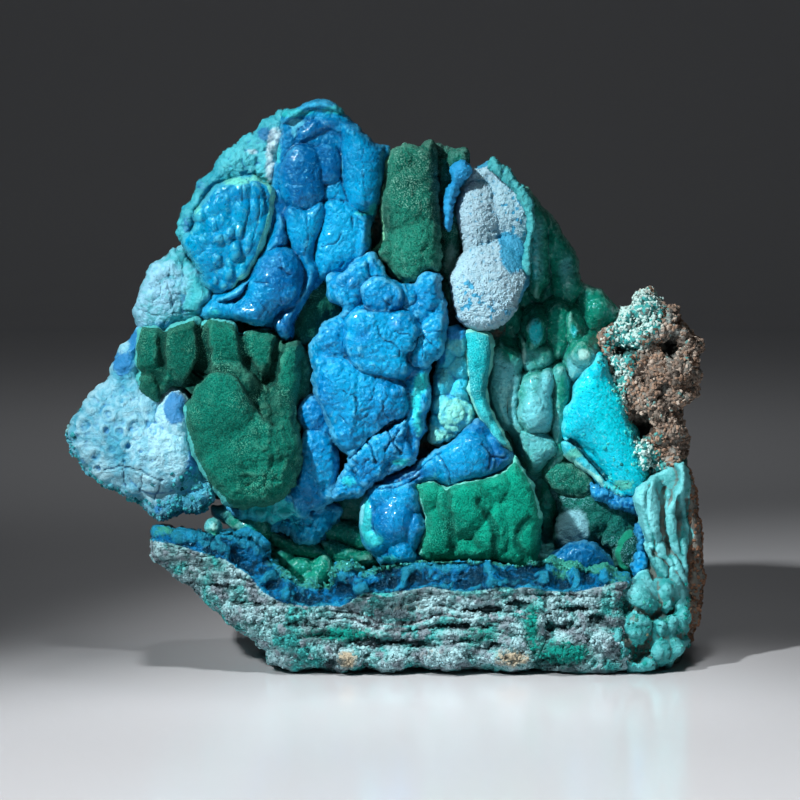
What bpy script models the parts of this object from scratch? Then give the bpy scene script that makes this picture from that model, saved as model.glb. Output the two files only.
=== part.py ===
"""Malachite and chrysocolla specimen, as one natural solid that stands on a flat-cut base.

Rounded lobes of chrysocolla and malachite cover the front of a rock core. Below them a
layered slab runs forward, joined to the core at the right, with an open gap at the left.
The x axis runs to the right, y away from the viewer and z up, all in metres. The origin is
on the base plane, at the middle of the rock's depth.
"""

import math
from collections import namedtuple

import bmesh
import bpy
from mathutils import Matrix, Vector, noise

MM = 0.001

# Driving dimensions, in millimetres
SIGHT_DISTANCE = 1000.0  # from the viewer to the middle of the rock
SIGHT_TILT_DEG = 6.0  # how far the viewer looks down
SIGHT_CENTRE = (3.0, 65.0)  # across and up, where the viewer looks
SIGHT_HEIGHT = 63.5  # height of that point above the base
BASE_CUT = 0.0  # height of the flat cut under the rock
FUSE_GRAIN = 1.1  # smallest gap left open between lobes that grew together
FACE_COUNT = 9400  # triangles kept in the finished solid

# A lobe is placed as the viewer sees it: across, up and front are its centre on the sight
# plane and the depth of its foremost point, then come its half sizes and its lean in degrees.
Lobe = namedtuple("Lobe", "across up front half_width half_height half_depth lean", defaults=(0.0,))

# A ring of an upright body: its height, its left and right ends, its front and its back.
Level = namedtuple("Level", "up left right front back")

# A ring of the slab: its place across, its underside and top, its front and its back.
Section = namedtuple("Section", "across bottom top front back")

CHRYSOCOLLA_CROWN = [
    Lobe(-18.0, 116.0, -20, 12.0, 17.0, 15, 4),
    Lobe(-22.0, 134.0, -12, 5.5, 4.0, 10),
    Lobe(-15.5, 135.3, -13, 5.5, 4.8, 11),
    Lobe(-9.5, 131.0, -16, 4.5, 4.6, 10),
    Lobe(-20.0, 120.8, -24, 7.5, 8.3, 12),
    Lobe(-20.8, 130.5, -18, 6.5, 5.5, 10),
    Lobe(-21.3, 108.3, -24, 4.6, 8.0, 11),
    Lobe(-6.3, 123.0, -23, 5.5, 11.0, 12, -8),
    Lobe(-11.3, 106.0, -24, 6.8, 10.0, 13, 12),
    Lobe(-14.3, 124.8, -21, 4.0, 8.3, 10),
    Lobe(-0.5, 124.0, -14, 4.5, 6.0, 9, -30),
    Lobe(-39.5, 106.5, -21, 11.5, 14.3, 12, -5),
    Lobe(-36.5, 124.0, -13, 5.2, 9.0, 12, 52),
    Lobe(-44.0, 117.0, -12, 3.8, 5.0, 10, 30),
    Lobe(-29.5, 129.5, -12, 4.4, 5.2, 12, 60),
    Lobe(-27.0, 96.0, -26, 5.8, 6.5, 11),
    Lobe(-33.0, 88.3, -26, 6.5, 5.3, 11),
    Lobe(-40.5, 88.5, -22, 4.0, 3.6, 9),
    Lobe(-21.3, 90.5, -20, 3.8, 10.5, 12, 20),
    Lobe(-28.3, 103.8, -18, 3.2, 9.5, 10, 20),
    Lobe(-16.5, 99.5, -18, 3.4, 7.5, 11),
    Lobe(-12.0, 93.0, -17, 4.0, 7.0, 11),
]

PALE_CRUST = [
    Lobe(-53.5, 91.0, -15, 9.5, 8.5, 15, 0),
    Lobe(-55.8, 93.0, -17, 8.0, 8.0, 14),
    Lobe(-49.0, 96.3, -16, 4.6, 6.0, 11),
    Lobe(-59.3, 88.8, -15, 4.6, 5.0, 11),
    Lobe(-51.3, 89.0, -19, 7.5, 3.8, 11),
    Lobe(-64.8, 72.5, -12, 3.6, 7.6, 12, 34),
    Lobe(-61.0, 82.5, -12, 2.8, 4.5, 10),
    Lobe(-64.5, 59.0, -19, 11.0, 10.5, 16, -35),
    Lobe(-58.0, 51.5, -20, 9.5, 8.5, 16),
    Lobe(-71.0, 56.5, -15, 8.5, 7.5, 16),
    Lobe(-55.5, 57.5, -21, 6.0, 7.5, 13),
    Lobe(-63.0, 46.5, -16, 9.5, 5.5, 14, 24),
    Lobe(-55.5, 42.5, -17, 5.0, 4.0, 12, 25),
]

VELVET_LEFT = [
    Lobe(-47.0, 75.0, -21, 14.0, 9.5, 14, 0),
    Lobe(-38.5, 56.0, -31, 11.5, 14.5, 16, -10),
    Lobe(-58.8, 78.5, -20, 4.4, 5.0, 10),
    Lobe(-53.0, 78.5, -24, 5.1, 7.8, 12),
    Lobe(-42.8, 78.5, -25, 6.3, 7.3, 12),
    Lobe(-35.8, 79.0, -21, 3.8, 4.5, 9),
    Lobe(-31.5, 75.3, -22, 5.3, 5.3, 9),
    Lobe(-27.0, 79.0, -16, 4.0, 3.5, 8),
    Lobe(-59.5, 73.5, -19, 3.6, 4.2, 9),
    Lobe(-59.3, 67.3, -20, 3.4, 4.4, 8),
    Lobe(-53.3, 69.8, -20, 3.4, 4.0, 8),
    Lobe(-49.0, 67.0, -18, 4.5, 6.0, 9),
    Lobe(-41.8, 61.5, -34, 8.4, 10.8, 15, 4),
    Lobe(-36.3, 51.3, -33, 11.8, 11.5, 16),
    Lobe(-29.0, 54.5, -29, 7.0, 9.0, 13, 6),
    Lobe(-25.8, 68.5, -27, 2.7, 10.2, 10, 4),
    Lobe(-20.8, 71.0, -20, 1.9, 8.5, 9),
    Lobe(-33.5, 68.5, -17, 8.0, 7.0, 9),
]

BLUE_CRESCENT = [
    Lobe(-17.3, 52.0, -25, 4.5, 7.5, 10, -5),
    Lobe(-19.8, 44.5, -25, 5.0, 6.0, 10, 25),
    Lobe(-24.5, 35.3, -20, 8.0, 4.0, 9, -8),
    Lobe(-31.5, 38.3, -22, 3.6, 3.1, 7),
    Lobe(-16.0, 37.0, -19, 4.5, 4.5, 9),
    Lobe(-47.8, 42.3, -18, 4.2, 2.6, 8),
    Lobe(-48.0, 39.3, -16, 4.0, 1.8, 7),
    Lobe(-56.5, 38.2, -15, 3.0, 3.6, 8, 30),
    Lobe(-41.0, 37.8, -14, 5.5, 2.4, 9, -12),
]

BLUE_CENTRE = [
    Lobe(-2.5, 85.0, -26, 13.0, 14.5, 16, 0),
    Lobe(-6.0, 63.0, -26, 12.0, 17.0, 15, 0),
    Lobe(-7.5, 95.8, -25, 5.0, 5.2, 10),
    Lobe(-10.8, 90.0, -24, 5.0, 6.0, 10),
    Lobe(-1.5, 92.0, -26, 6.6, 5.6, 10),
    Lobe(3.5, 97.0, -22, 4.0, 4.0, 9),
    Lobe(10.0, 92.3, -25, 3.1, 4.4, 8),
    Lobe(-14.0, 79.5, -26, 5.6, 7.0, 12),
    Lobe(-1.8, 79.8, -29, 9.2, 8.6, 14),
    Lobe(9.5, 82.5, -25, 5.3, 6.8, 11),
    Lobe(3.5, 87.0, -26, 5.2, 4.0, 9),
    Lobe(-6.5, 65.0, -29, 11.5, 11.5, 15),
    Lobe(-12.5, 72.0, -27, 5.5, 7.0, 11),
    Lobe(-0.5, 62.5, -27, 7.0, 8.5, 12),
    Lobe(0.3, 53.8, -26, 6.8, 5.8, 10, 15),
    Lobe(-9.0, 47.3, -23, 6.2, 6.8, 10),
    Lobe(-8.0, 53.0, -26, 6.0, 6.0, 10),
    Lobe(7.5, 67.5, -22, 3.2, 8.0, 9),
    Lobe(11.0, 75.0, -20, 3.0, 3.5, 8),
    Lobe(-18.3, 62.5, -19, 3.4, 5.0, 8),
]

VELVET_TOP = [
    Lobe(6.5, 111.0, -22, 6.0, 16.5, 12, 4),
    Lobe(3.3, 122.7, -20, 4.9, 5.6, 10),
    Lobe(9.3, 124.0, -20, 3.4, 5.0, 10),
    Lobe(6.0, 115.3, -24, 6.5, 8.2, 11),
    Lobe(7.4, 103.8, -25, 5.8, 9.5, 11),
    Lobe(0.8, 100.0, -18, 3.4, 4.0, 8),
    Lobe(15.0, 121.0, -9, 3.6, 7.5, 9),
    Lobe(17.5, 125.3, -8, 3.4, 2.6, 8),
    Lobe(14.0, 104.0, -8, 4.0, 12.0, 9),
]

WHITE_BUBBLES = [
    Lobe(22.5, 111.5, -21, 5.6, 8.2, 11),
    Lobe(30.0, 113.3, -18, 5.8, 8.0, 11, -12),
    Lobe(24.5, 92.3, -25, 8.6, 9.6, 13),
    Lobe(30.3, 102.3, -19, 4.8, 6.0, 10),
    Lobe(26.5, 120.8, -14, 4.6, 2.6, 9, 15),
    Lobe(31.0, 118.5, -12, 3.2, 5.0, 8, -40),
    Lobe(17.2, 118.0, -15, 2.6, 3.6, 8),
]

TURQUOISE_BAND = [
    Lobe(22.5, 76.5, -21, 3.1, 7.6, 10),
    Lobe(21.3, 68.5, -21, 3.0, 6.0, 10),
    Lobe(24.0, 61.5, -22, 2.9, 6.2, 10, -25),
    Lobe(28.0, 53.5, -23, 2.9, 6.2, 10, -30),
    Lobe(16.0, 73.0, -18, 4.2, 8.5, 9),
    Lobe(16.8, 60.0, -22, 4.8, 5.4, 10),
    Lobe(19.0, 82.0, -18, 4.2, 4.2, 9),
]

LOWER_LOBE = [
    Lobe(20.0, 52.0, -28, 8.5, 7.5, 12, 10),
    Lobe(13.5, 47.8, -27, 4.5, 6.0, 10, 55),
    Lobe(20.3, 38.8, -31, 6.4, 7.2, 12),
    Lobe(30.0, 39.5, -30, 8.0, 10.5, 14, -8),
    Lobe(11.8, 33.8, -28, 5.8, 7.0, 12),
    Lobe(26.0, 28.8, -29, 9.0, 5.0, 12),
    Lobe(2.3, 34.5, -29, 8.8, 9.6, 13),
    Lobe(5.5, 42.5, -25, 4.8, 8.0, 11, 62),
    Lobe(15.5, 37.5, -27, 19.0, 12.0, 15),
]

INNER_LOBES = [
    Lobe(29.0, 69.5, -8, 4.2, 8.2, 9),
    Lobe(27.3, 65.0, -9, 3.2, 5.2, 9),
    Lobe(38.0, 64.5, -8, 5.7, 8.2, 9),
    Lobe(37.3, 61.5, -11.5, 3.3, 3.9, 7),
    Lobe(41.0, 68.5, -9, 3.0, 5.6, 8),
    Lobe(34.0, 67.0, -9, 2.6, 5.6, 8),
    Lobe(44.5, 71.0, -8, 4.2, 10.0, 10, 15),
    Lobe(48.8, 77.0, -10, 2.6, 3.0, 7),
    Lobe(36.0, 82.0, -6, 3.4, 6.0, 8),
    Lobe(38.5, 77.0, -8, 3.8, 3.2, 8),
    Lobe(41.5, 76.0, -4, 5.4, 6.0, 8),
    Lobe(46.2, 83.5, -6, 1.8, 4.2, 6, -12),
    Lobe(36.8, 102.0, 0, 2.6, 13.0, 9, -5),
    Lobe(40.0, 102.0, -1, 2.2, 11.5, 9, -8),
    Lobe(43.3, 96.5, 0, 3.0, 10.0, 9, -12),
    Lobe(46.0, 93.0, 2, 4.0, 7.0, 9, -10),
    Lobe(39.3, 53.0, -9, 3.2, 4.8, 8, -30),
    Lobe(35.3, 55.0, -7, 3.0, 6.0, 8, -25),
    Lobe(43.5, 55.0, -8, 3.0, 5.5, 8, -20),
    Lobe(44.8, 45.3, -12, 6.6, 4.8, 9, -18),
    Lobe(50.3, 36.0, -10, 8.0, 7.2, 11),
    Lobe(45.5, 32.0, -10, 3.6, 4.6, 8),
    Lobe(55.8, 40.0, -9, 5.5, 5.5, 9),
    Lobe(60.5, 26.8, -10, 3.5, 4.8, 8),
    Lobe(57.5, 29.5, -9, 3.4, 6.4, 8),
    Lobe(53.3, 86.5, 1, 5.4, 6.8, 10),
]

RIGHT_FACE = [
    Lobe(53.5, 66.0, -15, 6.0, 11.5, 12, 14),
    Lobe(53.0, 61.0, -15, 8.5, 14.0, 13, 8),
    Lobe(52.0, 57.0, -17, 8.0, 7.5, 12),
    Lobe(57.5, 49.5, -17, 5.5, 5.5, 11),
    Lobe(55.0, 75.0, -13, 3.4, 4.0, 9),
]

RIGHT_WALL = [
    Lobe(65.0, 37.5, -23, 3.0, 7.6, 11),
    Lobe(67.8, 26.0, -23, 2.3, 6.0, 10, -20),
    Lobe(71.0, 32.0, -20, 2.8, 10.5, 12, -14),
    Lobe(69.8, 44.0, -20, 2.0, 3.2, 9, -25),
    Lobe(74.8, 36.0, -13, 2.6, 12.5, 12, 2),
    Lobe(76.8, 21.0, -13, 2.6, 8.5, 12),
    Lobe(74.5, 10.0, -17, 3.0, 7.5, 12, 8),
    Lobe(61.5, 9.5, -32, 3.6, 5.6, 10),
    Lobe(66.5, 4.5, -29, 5.6, 6.0, 12),
    Lobe(71.0, 12.5, -25, 4.2, 8.5, 12),
    Lobe(65.5, 15.5, -28, 4.8, 4.4, 10),
]

MATRIX = [
    Lobe(65.3, 90.0, -13, 4.4, 4.4, 12),
    Lobe(60.3, 86.3, -15, 5.6, 4.6, 12, 25),
    Lobe(69.5, 86.0, -14, 4.2, 4.8, 12),
    Lobe(72.8, 82.3, -12, 2.2, 3.8, 10, -20),
    Lobe(76.0, 75.5, -11, 2.0, 5.8, 10, -15),
    Lobe(75.8, 69.0, -12, 2.6, 4.6, 11),
    Lobe(67.0, 82.0, -14, 4.6, 2.8, 11),
    Lobe(64.5, 77.5, -15, 4.6, 4.8, 12),
    Lobe(68.5, 69.5, -18, 6.8, 6.0, 14),
    Lobe(62.0, 70.0, -15, 4.6, 6.6, 12),
    Lobe(70.0, 62.0, -18, 5.6, 6.6, 14),
    Lobe(62.5, 60.5, -13, 4.6, 7.6, 12),
    Lobe(70.5, 53.5, -17, 4.2, 5.0, 13),
    Lobe(66.0, 50.0, -16, 5.4, 5.0, 12),
    Lobe(72.3, 47.3, -15, 3.8, 5.2, 12),
    Lobe(59.0, 79.0, -12, 4.4, 3.2, 10),
]

SLAB_TOP = [
    Lobe(47.8, 24.3, -26, 7.0, 5.2, 9),
    Lobe(-10.8, 21.5, -24, 3.4, 3.0, 7),
    Lobe(-43.5, 32.6, -12, 2.3, 2.3, 3),
    Lobe(-34.8, 32.4, -14, 3.6, 2.9, 8),
    Lobe(-27.0, 22.0, -8, 2.6, 2.6, 6),
    Lobe(-23.3, 20.0, -9, 2.8, 2.4, 6),
    Lobe(-16.8, 22.0, -11, 2.3, 3.0, 5),
    Lobe(-21.5, 30.5, -6, 10.5, 4.6, 9, -14),
    Lobe(-10.5, 29.0, -5, 8.5, 3.6, 9, -10),
    Lobe(-3.3, 31.0, -7, 4.4, 7.0, 9),
    Lobe(56.5, 23.0, -20, 6.0, 2.4, 9),
]

# The core behind the left and middle lobes, which overhangs the slab at the left.
UPPER_CORE = [
    Level(41, -55, 8, -9, 14),
    Level(50, -68, 14, -10, 20),
    Level(57, -73, 14, -10, 23),
    Level(68, -66, 14, -9, 25),
    Level(80, -58, 15, -9, 26),
    Level(92, -57, 17, -8, 26),
    Level(105, -45, 19, -8, 24),
    Level(118, -39, 17, -8, 20),
    Level(127, -31, 12, -8, 15),
    Level(133, -22, -11, -8, 9),
]

# The rock just behind the lobes, which keeps the creases between them shallow.
FRONT_CORE = [
    Level(47, -44, 6, -17, 5),
    Level(58, -46, 9, -18, 5),
    Level(72, -57, 13, -15, 5),
    Level(86, -52, 14, -17, 5),
    Level(100, -46, 10, -15, 5),
    Level(114, -44, 11, -14, 5),
    Level(126, -32, 11, -13, 5),
    Level(132, -24, -9, -11, 5),
]

# The rock behind the white lobes and the band below them.
MIDDLE_CORE = [
    Level(50, 8, 30, -14, 6),
    Level(66, 10, 26, -13, 6),
    Level(84, 12, 31, -12, 6),
    Level(104, 8, 34, -12, 6),
    Level(118, 8, 31, -10, 6),
    Level(122, 10, 26, -8, 6),
]

# The back wall of the hollow at the right.
HOLLOW_BACK = [
    Level(18, -15, 70, 1, 26),
    Level(36, -16, 72, 3, 28),
    Level(50, -8, 72, 3, 28),
    Level(70, 6, 67, 3, 27),
    Level(82, 8, 62, 4, 25),
    Level(92, 8, 50, 5, 23),
    Level(104, 10, 40, 5, 21),
    Level(114, 12, 34, 4, 18),
    Level(121, 13, 26, 3, 13),
]

# The upright wall at the right, from the slab to the matrix.
WALL_CORE = [
    Level(-4, 58, 73, -25, 18),
    Level(10, 60, 75, -24, 20),
    Level(24, 64, 76, -17, 20),
    Level(40, 62, 74, -14, 20),
    Level(55, 60, 73, -12, 18),
    Level(69, 59, 74, -11, 15),
]

SLAB = [
    Section(-59.0, 27.0, 31.5, -17, -6),
    Section(-52.0, 21.5, 31.5, -25, 3),
    Section(-44.0, 14.5, 31.0, -30, 10),
    Section(-37.0, 7.5, 29.5, -33, 14),
    Section(-31.0, 2.0, 25.0, -35, 18),
    Section(-24.0, -4.0, 20.5, -36, 21),
    Section(-16.0, -5.0, 18.5, -37, 23),
    Section(-8.0, -5.5, 21.0, -37, 24),
    Section(4.0, -5.0, 23.5, -37, 25),
    Section(20.0, -5.5, 24.0, -37, 26),
    Section(36.0, -5.5, 24.0, -37, 26),
    Section(52.0, -5.5, 22.0, -36, 25),
    Section(63.0, -5.0, 20.0, -34, 24),
    Section(71.0, -3.0, 16.0, -27, 20),
]


def seen_at(across, up, depth):
    """The point at this depth that the viewer sees at across and up, in millimetres."""
    tilt = math.radians(SIGHT_TILT_DEG)
    sight = Vector((0.0, math.cos(tilt), -math.sin(tilt)))
    upright = Vector((0.0, math.sin(tilt), math.cos(tilt)))
    eye = Vector((SIGHT_CENTRE[0], 0.0, SIGHT_HEIGHT)) - sight * SIGHT_DISTANCE
    ray = sight * SIGHT_DISTANCE + upright * (up - SIGHT_CENTRE[1])
    ray.x = across - SIGHT_CENTRE[0]
    return eye + ray * ((depth - eye.y) / ray.y)


def roughen(mesh, height, across_grain, up_grain):
    """Moves each point of a closed mesh in or out along its normal, by fractal noise."""
    mesh.normal_update()
    shrink = Matrix.Diagonal((1 / across_grain, 1 / across_grain, 1 / up_grain))
    moves = [height * noise.fractal(shrink @ v.co, 0.9, 2.0, 3) for v in mesh.verts]
    for vertex, move in zip(mesh.verts, moves):
        vertex.co += vertex.normal * move


def add_lobe(mesh, lobe, roughness):
    """Adds one rounded lobe, turned by its lean in the viewer's plane."""
    ball = bmesh.new()
    bmesh.ops.create_icosphere(ball, subdivisions=4, radius=1.0)
    centre = seen_at(lobe.across, lobe.up, lobe.front + lobe.half_depth)
    sizes = Matrix.Diagonal((lobe.half_width, lobe.half_depth, lobe.half_height, 1.0))
    turn = Matrix.Rotation(math.radians(lobe.lean), 4, "Y")
    ball.transform(Matrix.Translation(centre) @ turn @ sizes)
    if roughness:
        roughen(ball, *roughness)
    append(mesh, ball)


def append(mesh, extra):
    """Copies a closed mesh into another, and frees it."""
    copies = {v: mesh.verts.new(v.co) for v in extra.verts}
    for face in extra.faces:
        mesh.faces.new([copies[v] for v in face.verts])
    extra.free()


def rounded_ring(centre, half_a, half_b, direction_a, direction_b, corners=40, squareness=3.2):
    """Points of a rounded rectangle round a centre, in the plane of two directions."""
    points = []
    for i in range(corners):
        angle = 2 * math.pi * i / corners
        c, s = math.cos(angle), math.sin(angle)
        reach = (abs(c) ** squareness + abs(s) ** squareness) ** (-1 / squareness)
        points.append(centre + direction_a * (half_a * reach * c) + direction_b * (half_b * reach * s))
    return points


def level_ring(level):
    """The ring of an upright body at one height."""
    middle = (level.front + level.back) / 2
    left = seen_at(level.left, level.up, middle)
    right = seen_at(level.right, level.up, middle)
    half_depth = (level.back - level.front) / 2
    return rounded_ring(
        (left + right) / 2, (right - left).length / 2, half_depth, Vector((1, 0, 0)), Vector((0, 1, 0))
    )


def section_ring(section):
    """The ring of the slab at one place across."""
    middle = (section.front + section.back) / 2
    low = seen_at(section.across, section.bottom, section.front)
    high = seen_at(section.across, section.top, section.front + 12.0)
    centre = Vector(((low.x + high.x) / 2, middle, (low.z + high.z) / 2))
    half_depth = (section.back - section.front) / 2
    half_height = (high.z - low.z) / 2
    return rounded_ring(centre, half_depth, half_height, Vector((0, 1, 0)), Vector((0, 0, 1)))


def between(first, second, share):
    """A station between two others."""
    return type(first)(*[a + (b - a) * share for a, b in zip(first, second)])


def add_body(mesh, stations, ring_of, step, roughness):
    """Lofts a closed body through its stations, with rings about one step apart."""
    rings = []
    for first, second in zip(stations, stations[1:]):
        count = max(1, round(abs(second[0] - first[0]) / step))
        rings += [ring_of(between(first, second, i / count)) for i in range(count)]
    rings.append(ring_of(stations[-1]))
    body = bmesh.new()
    loops = [[body.verts.new(p) for p in ring] for ring in rings]
    for low, high in zip(loops, loops[1:]):
        for i in range(len(low)):
            j = (i + 1) % len(low)
            body.faces.new((low[i], low[j], high[j], high[i]))
    for loop in (loops[0], loops[-1]):
        bmesh.ops.poke(body, faces=[body.faces.new(loop)])
    bmesh.ops.recalc_face_normals(body, faces=body.faces)
    roughen(body, *roughness)
    append(mesh, body)


def surface(name, colour, roughness):
    """A plain finish in the specimen's overall colour."""
    finish = bpy.data.materials.new(name)
    finish.use_nodes = True
    shader = finish.node_tree.nodes["Principled BSDF"]
    shader.inputs["Base Color"].default_value = (*colour, 1.0)
    shader.inputs["Roughness"].default_value = roughness
    shader.inputs["Metallic"].default_value = 0.0
    return finish


def add_modifier(rock, kind, **settings):
    modifier = rock.modifiers.new(kind.title(), kind)
    for key, value in settings.items():
        setattr(modifier, key, value)


def base_cutter():
    """A block that takes away all that lies under the base plane."""
    bpy.ops.mesh.primitive_cube_add(size=1.0)
    block = bpy.context.active_object
    block.name = "base_cut"
    depth = 40.0
    block.data.transform(Matrix.Diagonal((0.3, 0.3, depth * MM, 1.0)))
    block.location = (0.0, 0.0, (BASE_CUT - depth / 2) * MM)
    block.hide_render = True
    block.display_type = "WIRE"
    return block


def specimen():
    """The whole rock: its core and slab with every lobe that grew on them, fused and cut flat."""
    mesh = bmesh.new()
    smooth, lumpy, crumbly = None, (0.9, 5.0, 5.0), (1.8, 5.0, 5.0)
    broken, layered = (2.6, 11.0, 11.0), (2.6, 20.0, 6.0)
    for lobes, roughness in (
        (CHRYSOCOLLA_CROWN, smooth),
        (PALE_CRUST, lumpy),
        (VELVET_LEFT, smooth),
        (BLUE_CRESCENT, lumpy),
        (BLUE_CENTRE, smooth),
        (VELVET_TOP, smooth),
        (WHITE_BUBBLES, smooth),
        (TURQUOISE_BAND, smooth),
        (LOWER_LOBE, smooth),
        (INNER_LOBES, smooth),
        (RIGHT_FACE, smooth),
        (RIGHT_WALL, lumpy),
        (MATRIX, crumbly),
        (SLAB_TOP, smooth),
    ):
        for lobe in lobes:
            add_lobe(mesh, lobe, roughness)
    for stations, ring_of, roughness in (
        (UPPER_CORE, level_ring, broken),
        (FRONT_CORE, level_ring, lumpy),
        (MIDDLE_CORE, level_ring, lumpy),
        (HOLLOW_BACK, level_ring, broken),
        (WALL_CORE, level_ring, broken),
        (SLAB, section_ring, layered),
    ):
        add_body(mesh, stations, ring_of, 2.0, roughness)
    mesh.transform(Matrix.Scale(MM, 4))
    data = bpy.data.meshes.new("malachite_chrysocolla_specimen")
    mesh.to_mesh(data)
    mesh.free()
    rock = bpy.data.objects.new("malachite_chrysocolla_specimen", data)
    bpy.context.collection.objects.link(rock)
    add_modifier(rock, "REMESH", mode="VOXEL", voxel_size=FUSE_GRAIN * MM)
    graph = bpy.context.evaluated_depsgraph_get()
    fused = rock.evaluated_get(graph).to_mesh()
    triangles = sum(len(face.vertices) - 2 for face in fused.polygons)
    add_modifier(rock, "DECIMATE", ratio=FACE_COUNT / triangles)
    add_modifier(rock, "BOOLEAN", operation="DIFFERENCE", object=base_cutter())
    data.materials.append(surface("chrysocolla_and_malachite", (0.03, 0.36, 0.52), 0.5))
    return rock


def main():
    for old in list(bpy.data.objects):
        bpy.data.objects.remove(old)
    specimen()


main()
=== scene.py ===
"""Malachite and chrysocolla specimen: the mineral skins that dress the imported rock.

The rock is one solid. Each habit on it, such as the velvety green lobes, the crackled blue
mass or the layered slab, is a closed skin of its own, laid out where a viewer in front sees
it. Sizes in the tables are in millimetres.
"""

import math
from collections import namedtuple
from functools import lru_cache
from itertools import product

import bmesh
import bpy
import numpy as np
from bpy.props import FloatProperty, FloatVectorProperty, PointerProperty
from bpy.types import Operator, Panel, PropertyGroup
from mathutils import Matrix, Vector


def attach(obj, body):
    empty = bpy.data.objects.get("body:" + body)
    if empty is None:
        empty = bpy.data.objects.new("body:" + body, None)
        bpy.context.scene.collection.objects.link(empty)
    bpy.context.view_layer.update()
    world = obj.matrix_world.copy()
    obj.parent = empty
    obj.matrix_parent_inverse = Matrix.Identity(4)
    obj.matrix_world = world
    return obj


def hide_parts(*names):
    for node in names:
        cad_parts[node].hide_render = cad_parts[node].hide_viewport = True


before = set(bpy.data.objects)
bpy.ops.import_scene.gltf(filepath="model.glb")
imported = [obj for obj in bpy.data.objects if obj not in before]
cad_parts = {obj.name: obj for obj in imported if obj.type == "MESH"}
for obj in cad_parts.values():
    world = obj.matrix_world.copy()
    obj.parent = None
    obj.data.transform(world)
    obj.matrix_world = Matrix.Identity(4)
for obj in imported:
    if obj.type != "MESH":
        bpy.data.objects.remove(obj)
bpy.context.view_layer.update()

bl_info = {
    "name": "Malachite and Chrysocolla Specimen",
    "version": (1, 0, 0),
    "blender": (4, 5, 0),
    "location": "3D View > Sidebar > Specimen",
    "description": "Grows the mineral skins of one hand specimen and sets its stage",
    "category": "Add Mesh",
}

MM = 0.001
ROCK = "malachite_chrysocolla_specimen"

# Where the viewer stands, in millimetres and degrees
SIGHT_DISTANCE = 1000.0
SIGHT_TILT_DEG = 6.0
SIGHT_CENTRE = (3.0, 65.0)
SIGHT_HEIGHT = 63.5
SIGHT_SPAN = 200.0
SENSOR = 36.0

# A lobe is placed as the viewer sees it: across, up and front are its centre on the sight
# plane and the depth of its foremost point, then come its half sizes and its lean in degrees.
Lobe = namedtuple("Lobe", "across up front half_width half_height half_depth lean", defaults=(0.0,))

# A leaf is a sheet that lies over its neighbours: its outline, the depth of its edge, how far
# it comes forward from there and over what width.
Leaf = namedtuple("Leaf", "outline edge rise reach")

# A pad is one patch of skin: its outline on the sight plane, the depth of its flat parts, how
# far it falls back at the outline and over what width, its thickness, and the lobes on it.
Pad = namedtuple("Pad", "outline base drop round thick lobes")

# A ridge is a rounded cord of mineral through points (across, up, front).
Ridge = namedtuple("Ridge", "points half_width half_depth")

# A ring of an upright body: its height, its left and right ends, its front and its back.
Level = namedtuple("Level", "up left right front back")

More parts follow.
